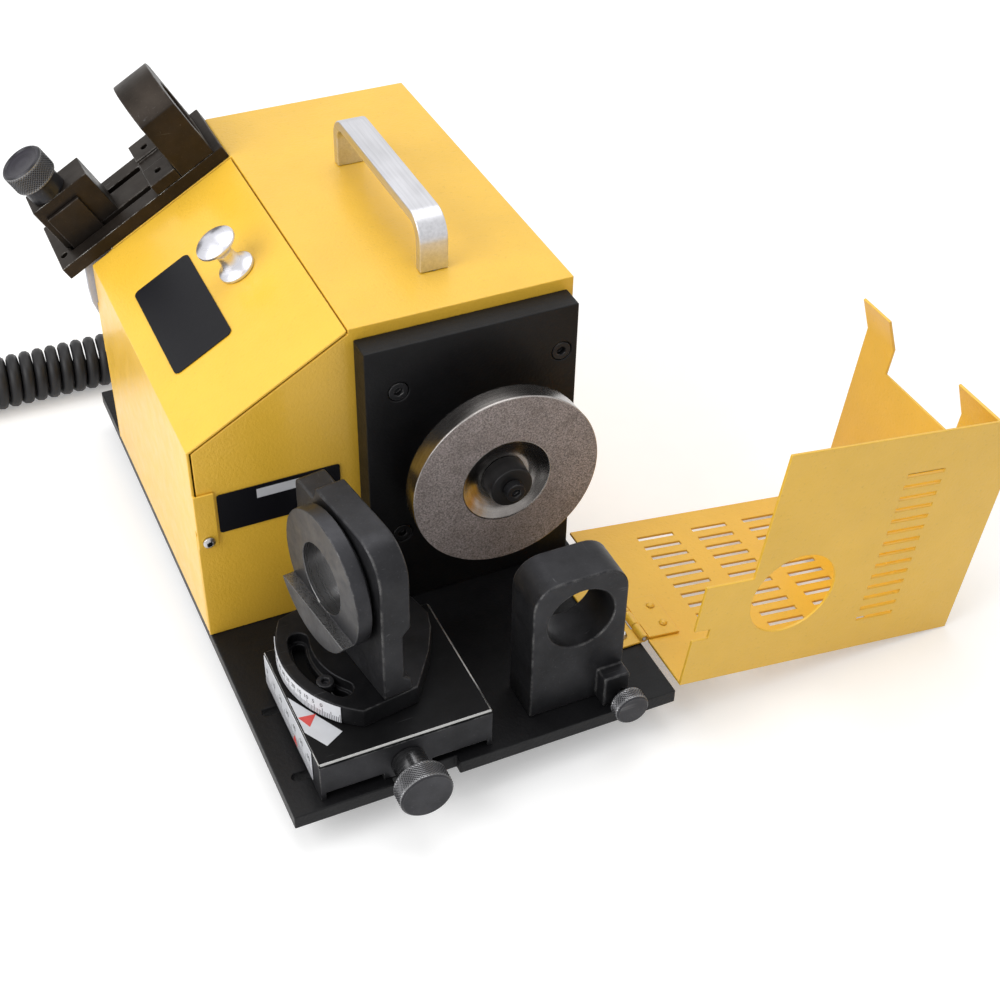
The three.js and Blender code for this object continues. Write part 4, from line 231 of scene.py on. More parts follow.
def rounded(node, look, width, segments=2, cuts=()):
    """A copy of a solid with its faces merged and its edges rounded, shown in its place.

    Cuts are planes through the middle of its holes, so that no merged face goes round a hole.
    """
    obj = put(node + "_finished", frame["nodes"][node].data.copy())
    whole(obj)
    bpy.ops.mesh.remove_doubles(threshold=2e-6)
    for place, across in cuts:
        bpy.ops.mesh.select_all(action="SELECT")
        bpy.ops.mesh.bisect(plane_co=place, plane_no=across, threshold=2e-6)
        bpy.ops.mesh.mark_seam(clear=False)
    bpy.ops.mesh.select_all(action="SELECT")
    bpy.ops.mesh.dissolve_limited(angle_limit=math.radians(0.6), delimit={"SEAM"})
    bpy.ops.mesh.mark_seam(clear=True)
    close()
    bevel(obj, width, segments)
    smooth(obj)
    return stand_for(obj, node, look)


def turned(node, profile, place, along, look, crease=28, steps=96):
    """A turned piece in place of a solid: a profile of (radius, height) spun about a direction.

    Edges sharper than the crease, in degrees, stay sharp.
    """
    name = node + "_finished"
    mesh = bpy.data.meshes.new(name)
    points = [(r / 1000, 0, h / 1000) for r, h in profile]
    mesh.from_pydata(points, [(i, i + 1) for i in range(len(points) - 1)], [])
    obj = put(name, mesh)
    alone(obj)
    bpy.ops.object.mode_set(mode="EDIT")
    bpy.ops.mesh.select_mode(type="VERT")
    bpy.ops.mesh.select_all(action="SELECT")
    bpy.ops.mesh.spin(steps=steps, angle=2 * math.pi, center=(0, 0, 0), axis=(0, 0, 1))
    bpy.ops.mesh.select_all(action="SELECT")
    bpy.ops.mesh.remove_doubles(threshold=2e-6)
    bpy.ops.mesh.normals_make_consistent(inside=False)
    close()
    stand(obj, place, along)
    smooth(obj, crease)
    return stand_for(obj, node, look)


def middle(a, b):
    """The middle of an edge, as a key."""
    return tuple(round(c, 7) for c in (a + b) / 2)


def knurled(node, radius, length, after, place, along, knurl, dish=()):
    """A knurled head with chamfered ends, then steps of (radius, length) behind it.

    A dish is steps of (inset, depth) turned into its front. Each square of a grid on the side
    becomes a diamond: its corners are the middles of the squares round it.
    """
    inner = length - 2 * knurl.chamfer
    columns = max(24, round(2 * math.pi * radius / knurl.pitch))
    rows = max(3, round(inner / knurl.pitch))
    bpy.ops.object.select_all(action="DESELECT")
    bpy.ops.mesh.primitive_cylinder_add(
        vertices=columns, radius=radius / 1000, depth=inner / 1000, end_fill_type="NGON",
        location=(0, 0, 0),
    )
    obj = bpy.context.active_object
    pick(obj, "EDGE", lambda a, b: abs(a.z - b.z) > 1e-5)
    bpy.ops.mesh.subdivide(number_cuts=rows - 1)
    close()
    half = inner / 2000
    grid = set()
    for e in obj.data.edges:
        a, b = (obj.data.vertices[i].co for i in e.vertices)
        if not (abs(abs(a.z) - half) < 1e-6 and abs(abs(b.z) - half) < 1e-6):
            grid.add(middle(a, b))
    pick(obj, "FACE", lambda f: abs(f.normal.z) < 0.5)
    bpy.ops.mesh.poke(offset=0.0)
    close()
    pick(obj, "EDGE", lambda a, b: middle(a, b) in grid)
    bpy.ops.mesh.dissolve_edges(use_verts=False)
    close()
    pick(obj, "FACE", lambda f: abs(f.normal.z) < 0.5 and len(f.vertices) == 4)
    bpy.ops.mesh.poke(offset=knurl.depth / 1000)
    close()
    end = (radius - knurl.chamfer, knurl.chamfer)
    for way, steps in ((1, [end]), (-1, [end, *after])):
        edge = way * half
        size = radius
        for r, h in steps:
            pick(obj, "FACE", lambda f: f.normal.z * way > 0.9 and abs(f.center.z - edge) < 1e-5)
            if r < size - 1e-6 and (r, h) != end:
                bpy.ops.mesh.inset(thickness=(size - r) / 1000)
            bpy.ops.mesh.extrude_region_move(TRANSFORM_OT_translate={"value": (0, 0, way * h / 1000)})
            if (r, h) == end:
                ratio = r / size
                bpy.ops.transform.resize(value=(ratio, ratio, 1), center_override=(0, 0, edge))
            close()
            edge += way * h / 1000
            size = r
    front = half + knurl.chamfer / 1000
    for inset, depth in dish:
        pick(
            obj, "FACE",
            lambda f: f.normal.z > 0.9 and len(f.vertices) == columns and f.center.z > half / 2,
        )
        bpy.ops.mesh.inset(thickness=inset / 1000, depth=-depth / 1000)
        close()
    for v in obj.data.vertices:
        v.co.z -= front
    wear(obj, "knurled steel")
    wear_on_faces(
        obj, "knob end",
        lambda f: abs(f.normal.z) > 0.6 or f.center.xy.length < 0.95 * radius / 1000,
    )
    stand(obj, place, -Vector(along))
    smooth(obj, 24)
    return stand_for(obj, node, None)


def patch(name, outline, thickness, out, edge, look, body):
    """A patch of foil or print from an outline of points, thickness and edge in millimetres."""
    mesh = bpy.data.meshes.new(name)
    mesh.from_pydata([tuple(p) for p in outline], [], [tuple(range(len(outline)))])
    obj = put(name, mesh)
    whole(obj)
    bpy.ops.mesh.extrude_region_move(
        TRANSFORM_OT_translate={"value": tuple(Vector(out) * (thickness / 1000))}
    )
    bpy.ops.mesh.select_all(action="SELECT")
    bpy.ops.mesh.normals_make_consistent(inside=False)
    close()
    bevel(obj, edge, 1)
    return fit(obj, name, body, look, "scale_foil")


def digits(name, marks, size, body):
    """Plain numbers on a scale: marks of (number, place, reading direction, outward direction)."""
    made = []
    for number, place, reading, outward in marks:
        bpy.ops.object.select_all(action="DESELECT")
        bpy.ops.object.text_add(location=(0, 0, 0))
        text = bpy.context.active_object
        text.data.body = str(number)
        text.data.size = size / 1000
        text.data.extrude = 0.00001
        text.data.align_x = "CENTER"
        bpy.ops.object.convert(target="MESH")
        obj = bpy.context.active_object
        out = Vector(outward).normalized()
        along = Vector(reading).normalized()
        turn = Matrix((along, out.cross(along), out)).transposed().to_4x4()
        obj.matrix_world = Matrix.Translation(place) @ turn
        settle(obj)
        made.append(obj)
    bpy.ops.object.select_all(action="DESELECT")
    for obj in made:
        obj.select_set(True)
    bpy.context.view_layer.objects.active = made[0]
    bpy.ops.object.join()
    return fit(bpy.context.active_object, name, body, "scale ink", "scale_foil")


# Finishes


class Finish:
    """A node material under construction, ending in one Principled shader."""

    def __init__(self, name, metallic=0.0, gloss=0.5):
        self.material = bpy.data.materials.new(name)
        self.material.use_nodes = True
        self.tree = self.material.node_tree
        self.shader = self.tree.nodes["Principled BSDF"]
        self.set("Metallic", metallic)
        self.set("Specular IOR Level", gloss)
        self.place = self.node("TexCoord").outputs["Object"]

    def node(self, kind, values=(), **settings):
        n = self.tree.nodes.new("ShaderNode" + kind)
        for key, value in settings.items():
            setattr(n, key, value)
        for key, value in dict(values).items():
            self.join(value, n.inputs[key])
        return n

    def join(self, value, socket):
        if isinstance(value, bpy.types.NodeSocket):
            self.tree.links.new(value, socket)
        elif value is not None:
            socket.default_value = value

    def set(self, name, value):
        if name.endswith("Color") and not isinstance(value, bpy.types.NodeSocket) and len(value) == 3:
            value = (*value, 1)
        self.join(value, self.shader.inputs[name])

    def done(self, colour, roughness, normal):
        """The material, with its last three inputs joined."""
        self.set("Base Color", colour)
        self.set("Roughness", roughness)
        self.set("Normal", normal)
        return self.material

    def math(self, how, a, b=0.0, clamp=False):
        return self.node("Math", {0: a, 1: b}, operation=how, use_clamp=clamp).outputs[0]

    def times(self, a, b):
        return self.math("MULTIPLY", a, b)

    def vector(self, how, a, b=(0, 0, 0), scale=None):
        n = self.node("VectorMath", {0: a, 1: b}, operation=how)
        if scale is not None:
            self.join(scale, n.inputs["Scale"])
        return n.outputs["Value" if how in ("DOT_PRODUCT", "LENGTH") else "Vector"]

    def noise(self, scale, detail=3.0, rough=0.5, vector=None, warp=0.0):
        values = {"Vector": vector or self.place, "Scale": scale, "Detail": detail}
        values.update({"Roughness": rough, "Distortion": warp})
        return self.node("TexNoise", values).outputs["Fac"]

    def cells(self, scale):
        return self.node("TexVoronoi", {"Vector": self.place, "Scale": scale}).outputs["Distance"]

    def stretched(self, x, y, z):
        return self.node("Mapping", {"Vector": self.place, "Scale": (x, y, z)}).outputs[0]

    def span(self, value, low, high, to_low=0.0, to_high=1.0):
        """A value brought from one range to another, and held inside it."""
        values = {"Value": value, "From Min": low, "From Max": high}
        values.update({"To Min": to_low, "To Max": to_high})
        return self.node("MapRange", values).outputs[0]

    def mix(self, factor, a, b):
        n = self.node("Mix", data_type="RGBA")
        for socket, value in ((n.inputs[0], factor), (n.inputs[6], a), (n.inputs[7], b)):
            if isinstance(value, (tuple, list)) and len(value) == 3:
                value = (*value, 1)
            self.join(value, socket)
        return n.outputs[2]

    def blend(self, factor, a, b):
        """A number between two, by a factor."""
        return self.span(factor, 0.0, 1.0, a, b)

    def rounding(self, radius):
        """The normal with its edges rounded, and a mask of the edges."""
        soft = self.node("Bevel", {"Radius": radius / 1000}, samples=4).outputs[0]
        flat = self.node("NewGeometry").outputs["Normal"]
        turn = self.vector("DOT_PRODUCT", soft, flat)
        return soft, self.span(turn, 0.995, 0.86)

    def relief(self, height, depth, strength, normal=None):
        values = {"Strength": strength, "Distance": depth / 1000, "Height": height, "Normal": normal}
        return self.node("Bump", values).outputs[0]

    def about(self, place, along):
        """Distance from an axis and along it, in metres."""
        axis = Vector(along).normalized()
        p = self.vector("SUBTRACT", self.place, tuple(place))
        h = self.vector("DOT_PRODUCT", p, tuple(axis))
        off = self.vector("SCALE", tuple(axis), scale=h)
        return self.vector("LENGTH", self.vector("SUBTRACT", p, off)), h

    def rings(self, radius, height):
        """Coordinates that are the same all round an axis."""
        return self.node("CombineXYZ", {"X": radius, "Y": height}).outputs[0]


def shade(tone, times, lift=0.0):
    """A colour made darker or lighter."""
    return tuple(min(1.0, c * times + lift) for c in tone)


def paint(name, colour, looks, worn=0.25, sheen=0.36, gloss=0.5):
    """Sprayed orange-peel enamel with a gently uneven tone, painted shade in the dips of the peel and
    thinner edges.
    """
    f = Finish(name, gloss=gloss)
    f.set("Coat Weight", gloss * 0.4)
    f.set("Coat Roughness", 0.18)
    soft, edge = f.rounding(0.7)
    broad = f.noise(26, 4.0, 0.6)
    peel = f.noise(looks.peel, 2.0, 0.45)
    pits = f.noise(looks.peel * 3.1, 1.0, 0.5)
    tone = f.mix(f.span(broad, 0.3, 0.7), shade(colour, 0.955), shade(colour, 1.03, 0.002))
    # Painted shade: the low dips of the orange peel are darkened towards 0.55 of the colour.
    tone = f.mix(f.span(peel, 0.36, 0.24, 0.0, 0.22), tone, shade(colour, 0.55))
    chips = f.span(f.noise(170, 3.0, 0.7), 0.45, 0.62)
    tone = f.mix(f.times(f.times(edge, chips), worn), tone, shade(colour, 1.15, 0.03))
    cloud = f.span(f.noise(90, 4.0, 0.6), 0.3, 0.7, sheen - 0.05, sheen + 0.08)
    height = f.math("ADD", peel, f.times(pits, 0.3))
    return f.done(tone, cloud, f.relief(height, 0.3, looks.peel_strength, soft))


def blackened(name, tone, looks, lines=None, worn=1.0, rough=0.42, metal=0.6, edge_width=0.55):
    """Blackened steel: dark satin metal with tool marks, fine scratches and bright worn edges."""
    f = Finish(name, metal, 0.2)
    soft, edge = f.rounding(edge_width)
    cloud = f.noise(34, 5.0, 0.62)
    speck = f.noise(900, 2.0, 0.6)
    colour = f.mix(f.span(cloud, 0.28, 0.74), shade(tone, 0.62), shade(tone, 1.5))
    colour = f.mix(f.span(speck, 0.62, 0.8, 0.0, 0.5), colour, shade(tone, 2.4))
    scratch = f.noise(1.0, 2.0, 0.5, f.stretched(35, 900, 260), 0.3)
    cross = f.noise(1.0, 2.0, 0.5, f.stretched(700, 40, 500), 0.5)
    marks = f.math("MAXIMUM", f.span(scratch, 0.71, 0.8), f.span(cross, 0.73, 0.82))
    colour = f.mix(f.times(marks, looks.scratches), colour, (0.2, 0.2, 0.205))
    breaks = f.span(f.noise(140, 4.0, 0.75), 0.42, 0.62)
    bare = f.math("MULTIPLY", f.times(edge, breaks), looks.edge_wear * worn, clamp=True)
    colour = f.mix(bare, colour, (0.5, 0.49, 0.47))
    height = f.math("ADD", f.times(speck, 0.4), f.times(scratch, 0.6))
    if lines is not None:
        height = f.math("ADD", height, f.noise(1.0, 1.0, 0.4, f.stretched(*lines)))
    satin = f.span(f.noise(120, 4.0, 0.65), 0.25, 0.75, rough - 0.1, rough + 0.12)
    return f.done(colour, satin, f.relief(height, 0.03, 0.5, soft))


def knurled_steel(name, tone, looks):
    """Blackened steel with the points of its knurl painted lighter: partly bare wear, partly painted
    highlight.
    """
    f = Finish(name, 0.75, 0.2)
    tip_wear_and_highlight = f.span(f.node("NewGeometry").outputs["Pointiness"], 0.505, 0.56)
    cloud = f.noise(60, 4.0, 0.6)
    speck = f.noise(1100, 2.0, 0.6)
    colour = f.mix(f.span(cloud, 0.3, 0.7), shade(tone, 0.75), shade(tone, 1.4))
    # Painted highlight with wear: the knurl's points are made lighter, scaled by the edge wear setting.
    colour = f.mix(f.times(tip_wear_and_highlight, looks.edge_wear), colour, (0.42, 0.42, 0.43))
    return f.done(colour, f.span(cloud, 0.3, 0.7, 0.26, 0.4), f.relief(speck, 0.02, 0.4))


def turned_steel(
    name, tone, place, along, rough=0.24, metal=1.0, rings=2600.0, dark=0.6, stain=0.35, cut=0.02
):
    """Metal turned on a lathe: fine rings round an axis."""
    f = Finish(name, metal)
    soft, edge = f.rounding(0.4)
    ring = f.rings(*f.about(place, along))
    ripple = f.noise(rings, 2.0, 0.7, ring)
    band = f.noise(rings / 9, 3.0, 0.6, ring)
    cloud = f.noise(60, 4.0, 0.6)
    colour = f.mix(f.span(band, 0.3, 0.7), shade(tone, dark), tone)
    colour = f.mix(f.span(cloud, 0.5, 0.8, 0.0, stain), colour, shade(tone, 0.7))
    colour = f.mix(f.times(edge, 0.5), colour, shade(tone, 1.3))
    satin = f.span(ripple, 0.2, 0.8, rough - 0.06, rough + 0.12)
    return f.done(colour, satin, f.relief(ripple, cut, 0.6, soft))


def satin_metal(name, tone, grain, rough=0.3, depth=0.02):
    """Brushed or blasted light metal, with its grain along one direction."""
    f = Finish(name, 1.0)
    soft, edge = f.rounding(0.6)
    brush = f.noise(1.0, 3.0, 0.6, f.stretched(*grain))
    cloud = f.noise(40, 4.0, 0.6)
    colour = f.mix(f.span(brush, 0.3, 0.7), shade(tone, 0.82), tone)
    colour = f.mix(f.span(cloud, 0.55, 0.8, 0.0, 0.4), colour, shade(tone, 0.72))
    colour = f.mix(f.times(edge, 0.6), colour, shade(tone, 1.3))
    satin = f.span(cloud, 0.3, 0.7, rough - 0.05, rough + 0.1)
    return f.done(colour, satin, f.relief(brush, depth, 0.5, soft))


def moulded(name, tone, rough, grain, depth):
    """Rubber or plastic with a fine moulded texture and a trace of dust."""
    f = Finish(name, gloss=0.25)
    soft, edge = f.rounding(0.5)
    fine = f.noise(grain, 2.0, 0.6)
    cloud = f.noise(45, 4.0, 0.65)
    colour = f.mix(f.span(cloud, 0.35, 0.75, 0.0, 0.05), tone, (0.22, 0.21, 0.2))
    colour = f.mix(f.times(edge, 0.25), colour, shade(tone, 2.2, 0.02))
    satin = f.span(cloud, 0.3, 0.7, rough - 0.06, rough + 0.12)
    return f.done(colour, satin, f.relief(fine, depth, 0.6, soft))


def foil(name, tone, rough, gloss=0.5):
    """A thin foil label with a faint ripple."""
    f = Finish(name, gloss=gloss)
    ripple = f.noise(120, 3.0, 0.5)
    fine = f.noise(2200, 1.0, 0.5)
    colour = f.mix(f.span(f.noise(70, 4.0, 0.6), 0.3, 0.7), shade(tone, 0.85), tone)
    satin = f.span(fine, 0.3, 0.7, rough - 0.04, rough + 0.06)
    return f.done(colour, satin, f.relief(f.math("ADD", ripple, f.times(fine, 0.06)), 0.12, 0.5))


def scale_foil(name, along, pitch, low, high, tape):
    """Pale foil with graduation lines up from its lower edge: short ones, and every fifth long."""
    every = 5.0
    f = Finish(name, gloss=0.2)
    step = f.math("DIVIDE", along(f), pitch)
    near = f.math("ABSOLUTE", f.math("SUBTRACT", f.math("FRACT", step), 0.5))
    fine = f.span(near, 0.29, 0.34)
    broad = f.math("FRACT", f.math("DIVIDE", step, every))
    broad = f.math("ABSOLUTE", f.math("SUBTRACT", broad, 0.5))
    long = f.span(broad, 0.5 - 0.22 / every, 0.5 - 0.17 / every)
    share = f.span(f.node("SeparateXYZ", {"Vector": f.place}).outputs["Z"], low, high)
    short_line = f.times(fine, f.math("LESS_THAN", share, 0.36))
    long_line = f.times(long, f.math("LESS_THAN", share, 0.52))
    lines = f.math("MAXIMUM", short_line, long_line)
    rim = f.math("LESS_THAN", share, 0.03)
    smudge = f.span(f.noise(90, 4.0, 0.6), 0.35, 0.75, 0.0, 0.35)
    ground = f.mix(smudge, tape, shade(tape, 0.72))
    colour = f.mix(f.math("MAXIMUM", lines, rim), ground, INK)
    satin = f.span(smudge, 0.0, 0.35, 0.28, 0.42)
    return f.done(colour, satin, f.relief(f.noise(160, 2.0, 0.5), 0.1, 0.3))


def rim_angle(f):
    """The angle about the work head's pivot."""
    off = f.vector("SUBTRACT", f.place, tuple(at(*PIVOT, 0)))
    p = f.node("SeparateXYZ", {"Vector": off}).outputs
    return f.math("ARCTAN2", f.times(p["Y"], -1.0), f.times(p["X"], -1.0))


def side_place(f):
    """The place along the slide's side."""
    return f.node("SeparateXYZ", {"Vector": f.place}).outputs["Y"]


def abrasive_wheel(name, looks):
    """Grinding wheel: a granular abrasive face, a turned dish, back and rim."""
    f = Finish(name, 1.0)
    soft, edge = f.rounding(0.45)
    radius, height = f.about(at(*WHEEL_FACE), BACK)
    face = f.math("LESS_THAN", height, 0.00012)
    inner = f.math("GREATER_THAN", radius, 0.0236)
    outer = f.math("LESS_THAN", radius, 0.0488)
    band = f.times(f.times(face, inner), outer)
    grit = f.noise(1150, 4.0, 0.8)
    stones = f.cells(1300)
    cloud = f.noise(38, 5.0, 0.65)
    stone = f.mix(f.span(grit, 0.36, 0.64), (0.09, 0.078, 0.075), (0.48, 0.42, 0.405))
    patches = f.span(f.noise(95, 5.0, 0.7), 0.52, 0.7, 0.0, 0.45)
    stone = f.mix(patches, stone, (0.10, 0.082, 0.075))
    stone = f.mix(f.span(cloud, 0.4, 0.75, 0.0, 0.5), stone, (0.13, 0.105, 0.095))
    # Lighter grain centres: partly the grains' own colour, partly painted glint.
    stone = f.mix(f.span(stones, 0.30, 0.12, 0.0, 0.6), stone, (0.40, 0.37, 0.37))
    ring = f.rings(radius, height)
    ripple = f.noise(3200, 2.0, 0.7, ring)
    groove = f.noise(420, 3.0, 0.6, ring)
    metal = f.mix(f.span(groove, 0.3, 0.7), (0.29, 0.27, 0.26), (0.43, 0.41, 0.39))
    stain = f.span(f.noise(34, 4.0, 0.65), 0.42, 0.7, 0.0, 0.6)
    metal = f.mix(stain, metal, (0.13, 0.115, 0.105))
    colour = f.mix(band, metal, stone)
    colour = f.mix(f.times(edge, 0.6), colour, (0.78, 0.76, 0.73))
    f.set("Metallic", f.blend(band, 1.0, 0.3))
    grains = f.math("ADD", grit, f.times(stones, 0.6))
    relief = f.relief(f.mix(band, f.times(ripple, 0.03), grains), 0.09, looks.grit, soft)
    return f.done(colour, f.blend(band, 0.24, 0.58), relief)


INK = (0.02, 0.02, 0.024)
_finishes = {}


def finish(name):
    """The machine's finishes, made once each from the user's settings."""
    if name in _finishes:
        return _finishes[name]
    s = bpy.context.scene.tap_grinder
    steel, enamel = s.steel, s.enamel
    tone = tuple(steel.blackened)
    wheel = at(*WHEEL_FACE)
    setter = on_slope(*SETTING_KNOB, 0)
    rim_low, rim_high = at(0, 0, 32.9).z, at(0, 0, 43.3).z
    side_low, side_high = at(0, 0, 12.6).z, at(0, 0, 32).z
    makers = {
        "yellow enamel": (paint, tuple(enamel.colour), enamel),
        "black enamel": (paint, tuple(enamel.black), enamel, 0.5, 0.46, 0.16),
        "grey enamel": (paint, (0.50, 0.52, 0.60), enamel, 0.3, 0.4),
        "blackened steel": (blackened, tone, steel),
        "blackened plate": (blackened, shade(tone, 0.6), steel, (1400, 60, 60), 1.3),
        "chipped steel": (blackened, tone, steel, (300, 300, 900), 1.7, 0.4, 0.6, 0.9),
        "worn plate": (blackened, shade(tone, 0.22), steel, (60, 1500, 60), 1.2, 0.5, 0.5, 0.5),
        "blackened ring": (
            blackened, shade(tone, 1.35), steel, (300, 1600, 300), 1.2, 0.38, 0.7, 0.5
        ),
        "brown steel": (blackened, (0.030, 0.024, 0.0195), steel, (60, 1500, 60), 1.3, 0.4, 0.7),
        "knob end": (blackened, shade(tone, 1.5), steel, None, 0.5, 0.36, 0.75, 0.3),
        "knurled steel": (knurled_steel, tone, steel),
        "feed sleeve": (turned_steel, (0.20, 0.2, 0.205), FEED_AXIS, BACK, 0.2, 0.95, 2600, 0.4),
        "turned knob end": (
            turned_steel, (0.062, 0.058, 0.072), setter, SLOPE_NORMAL, 0.3, 0.9, 2600, 0.5
        ),
        "bright bore": (
            turned_steel, (0.20, 0.198, 0.20), RING_CENTRE, HEAD_AXIS, 0.26, 0.9, 900, 0.7, 0.35, 0.003
        ),
        "turned aluminium": (
            turned_steel, (0.72, 0.72, 0.77), COVER_KNOB_FOOT, SLOPE_NORMAL, 0.28, 1.0, 2300, 0.9, 0.1
        ),
        "turned spindle": (turned_steel, (0.5, 0.5, 0.5), wheel, BACK),
        "blackened hub": (turned_steel, (0.030, 0.029, 0.030), wheel, BACK, 0.34, 0.7, 2300, 0.6),
        "bare edge": (satin_metal, (0.50, 0.50, 0.49), (300, 300, 300), 0.36),
        "zinc": (satin_metal, (0.52, 0.52, 0.53), (300, 300, 300), 0.3),
        "satin aluminium": (satin_metal, (0.66, 0.66, 0.69), (700, 22, 700), 0.36, 0.008),
        "cast aluminium": (satin_metal, (0.5, 0.5, 0.52), (400, 400, 400), 0.45, 0.06),
        "copper winding": (satin_metal, (0.52, 0.22, 0.10), (900, 120, 900), 0.4, 0.08),
        "abrasive wheel": (abrasive_wheel, steel),
        "rubber": (moulded, (0.016, 0.016, 0.017), 0.62, 1200, 0.05),
        "lead rubber": (moulded, (0.014, 0.014, 0.0155), 0.42, 1800, 0.02),
        "black plastic": (moulded, (0.02, 0.02, 0.021), 0.4, 1600, 0.025),
        # Dark label foil, also used as painted shade in the pivot screws' sockets.
        "black foil": (foil, (0.004, 0.004, 0.006), 0.38, 0.2),
        "scale ink": (foil, INK, 0.4, 0.2),
        "pale foil": (foil, (0.60, 0.61, 0.64), 0.36),
        "red foil": (foil, (0.62, 0.06, 0.05), 0.36),
        "rim scale": (
            scale_foil, rim_angle, math.radians(1.0), rim_low, rim_high, (0.66, 0.67, 0.70)
        ),
        "side scale": (scale_foil, side_place, 0.001, side_low, side_high, (0.60, 0.61, 0.64)),
    }
    maker, *values = makers[name]
    _finishes[name] = maker(name, *values)
    return _finishes[name]


# Settings


def tint(name, description, default):
    return FloatVectorProperty(
        name=name, description=description, subtype="COLOR", default=default, min=0, max=1
    )


def fraction(name, description, default):
    return FloatProperty(
        name=name, description=description, subtype="FACTOR", default=default, min=0, max=1
    )


def power(name, description, default):
    return FloatProperty(
        name=name, description=description, subtype="POWER", unit="POWER", default=default, min=0
    )


class EnamelSettings(PropertyGroup):
    """Sprayed paint of the sheet metal and the base."""

    colour: tint("Enamel", "Colour of the sheet-metal housing and guard", (0.84, 0.50, 0.045))
    black: tint("Black enamel", "Colour of the base and front plates", (0.0052, 0.0052, 0.006))
    peel: FloatProperty(name="Peel", description="Grains of orange peel per metre", default=620, min=50)
    peel_strength: fraction("Peel strength", "How deep the orange peel looks", 0.58)


class SteelSettings(PropertyGroup):
    """Blackened and bare steel."""

    blackened: tint("Blackened steel", "Colour of the machined blocks", (0.027, 0.027, 0.0295))
    # The edge wear setting also sets the painted highlight on the knurl points.
    edge_wear: fraction("Edge wear", "How bare the edges are worn", 0.75)
    scratches: fraction("Scratches", "How much the fine scratches show", 0.35)
    grit: fraction("Grit", "How rough the abrasive face looks", 0.8)


class KnurlSettings(PropertyGroup):
    """Diamond knurl of the hand screws, in millimetres."""

    pitch: FloatProperty(name="Pitch", description="Width of one diamond, mm", default=1.6, min=0.4)
    depth: FloatProperty(name="Depth", description="Height of a diamond, mm", default=0.42, min=0.05)
    chamfer: FloatProperty(name="Chamfer", description="Bevel at each end, mm", default=0.8, min=0.1)


class LeadSettings(PropertyGroup):
    """Coiled mains lead."""

    curls: IntProperty(name="Curls", description="Turns of the coiled lead", default=30, min=1)
    cable: FloatProperty(
        name="Cable", description="Diameter of the cable", subtype="DISTANCE", unit="LENGTH",
        default=0.0074, min=0.001,
    )
    steps: IntProperty(name="Steps", description="Points on each turn", default=16, min=8)


class StageSettings(PropertyGroup):
    """Floor, light and camera."""

    surround: FloatProperty(
        name="Surround", description="Level of light from all round", default=0.62, min=0,
    )
    key: power("Key lamp", "Lamp from the left", 11.2)
    top: power("Top lamp", "Lamp from above", 8.4)


class TapGrinderSettings(PropertyGroup):
    """Sizes and colours of the tap grinding machine."""

    enamel: PointerProperty(type=EnamelSettings)
    steel: PointerProperty(type=SteelSettings)
    knurl: PointerProperty(type=KnurlSettings)
    lead: PointerProperty(type=LeadSettings)
    stage: PointerProperty(type=StageSettings)


# Pieces


class TAPGRINDER_OT_base(Operator):
    """Base plate with its slots and its notch, on four rubber feet"""

    bl_idname = "tap_grinder.base"
    bl_label = "Base"

    def execute(self, context):
        rounded("base_plate", "black enamel", 0.7, 3)
        for end in ("front", "rear"):
            for side in ("left", "right"):
                rounded(f"rubber_foot_{end}_{side}", "rubber", 0.9, 3)
        return {"FINISHED"}


class TAPGRINDER_OT_housing(Operator):
    """Folded sheet housing, its tilting side cover and the grey gusset"""

    bl_idname = "tap_grinder.housing"
    bl_label = "Housing and side cover"

    def execute(self, context):
        cuts = [(at(x, 200, 90), (1, 0, 0)) for x in (4.6, 48, 101, 138.5, 150, 187)]
        rounded("housing", "yellow enamel", 0.4, 3, cuts)
        rounded("side_cover", "yellow enamel", 0.45, 3)
        rounded("fixture_gusset", "grey enamel", 0.5, 2)
        for end in ("front", "rear"):
            pivot = rounded("cover_pivot_" + end, "zinc", 0.2, 2)
            low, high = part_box("cover_pivot_" + end)
            axis = (low + high) / 2

            def in_socket(face):
                off = face.center - axis
                sunk = face.center.y - low.y if end == "front" else high.y - face.center.y
                return math.hypot(off.x, off.z) < 0.0017 and 0.0002 < sunk < 0.0025

            # Painted shade: the faces down in each pivot screw's hex socket get the dark label foil,
            # standing for the shade in the hole.
            wear_on_faces(pivot, "black foil", in_socket)
        return {"FINISHED"}


class TAPGRINDER_OT_cover_knob(Operator):
    """Turned aluminium pull of the side cover"""

    bl_idname = "tap_grinder.cover_knob"
    bl_label = "Cover knob"

    def execute(self, context):
        profile = [(0, -6), (2, -6), (2, 0.3), (9.5, 0.3), (9.85, 0.6), (9.9, 1.9), (9.6, 2.4)]
        profile += [(8.6, 2.9), (7.2, 3.9), (6.0, 5.5), (5.1, 7.6), (4.7, 9.8), (4.6, 12.2)]
        profile += [(4.9, 14.0), (5.8, 15.6), (7.3, 17.0), (9.0, 18.0), (10.4, 18.8), (10.9, 19.4)]
        profile += [(11.0, 20.1), (10.85, 20.8), (10.3, 21.4), (9.0, 22.2), (7.0, 23.2), (5.0, 24.0)]
        profile += [(3.0, 24.6), (1.4, 24.93), (0, 25)]
        turned("cover_knob", profile, COVER_KNOB_FOOT, SLOPE_NORMAL, "turned aluminium", 30)
        return {"FINISHED"}


class TAPGRINDER_OT_labels(Operator):
    """Bare foil labels on the slope and on the front wall"""

    bl_idname = "tap_grinder.labels"
    bl_label = "Bare labels"

    def execute(self, context):
        rounded("slope_label", "black foil", 0.1, 1)
        rounded("front_label", "black foil", 0.1, 1)
        field = [at(x, 128.58, z) for x, z in ((31, 90.5), (53, 90.5), (53, 96), (31, 96))]
        patch("front_label_field", field, 0.06, (0, -1, 0), 0.02, "pale foil", "machine")
        return {"FINISHED"}


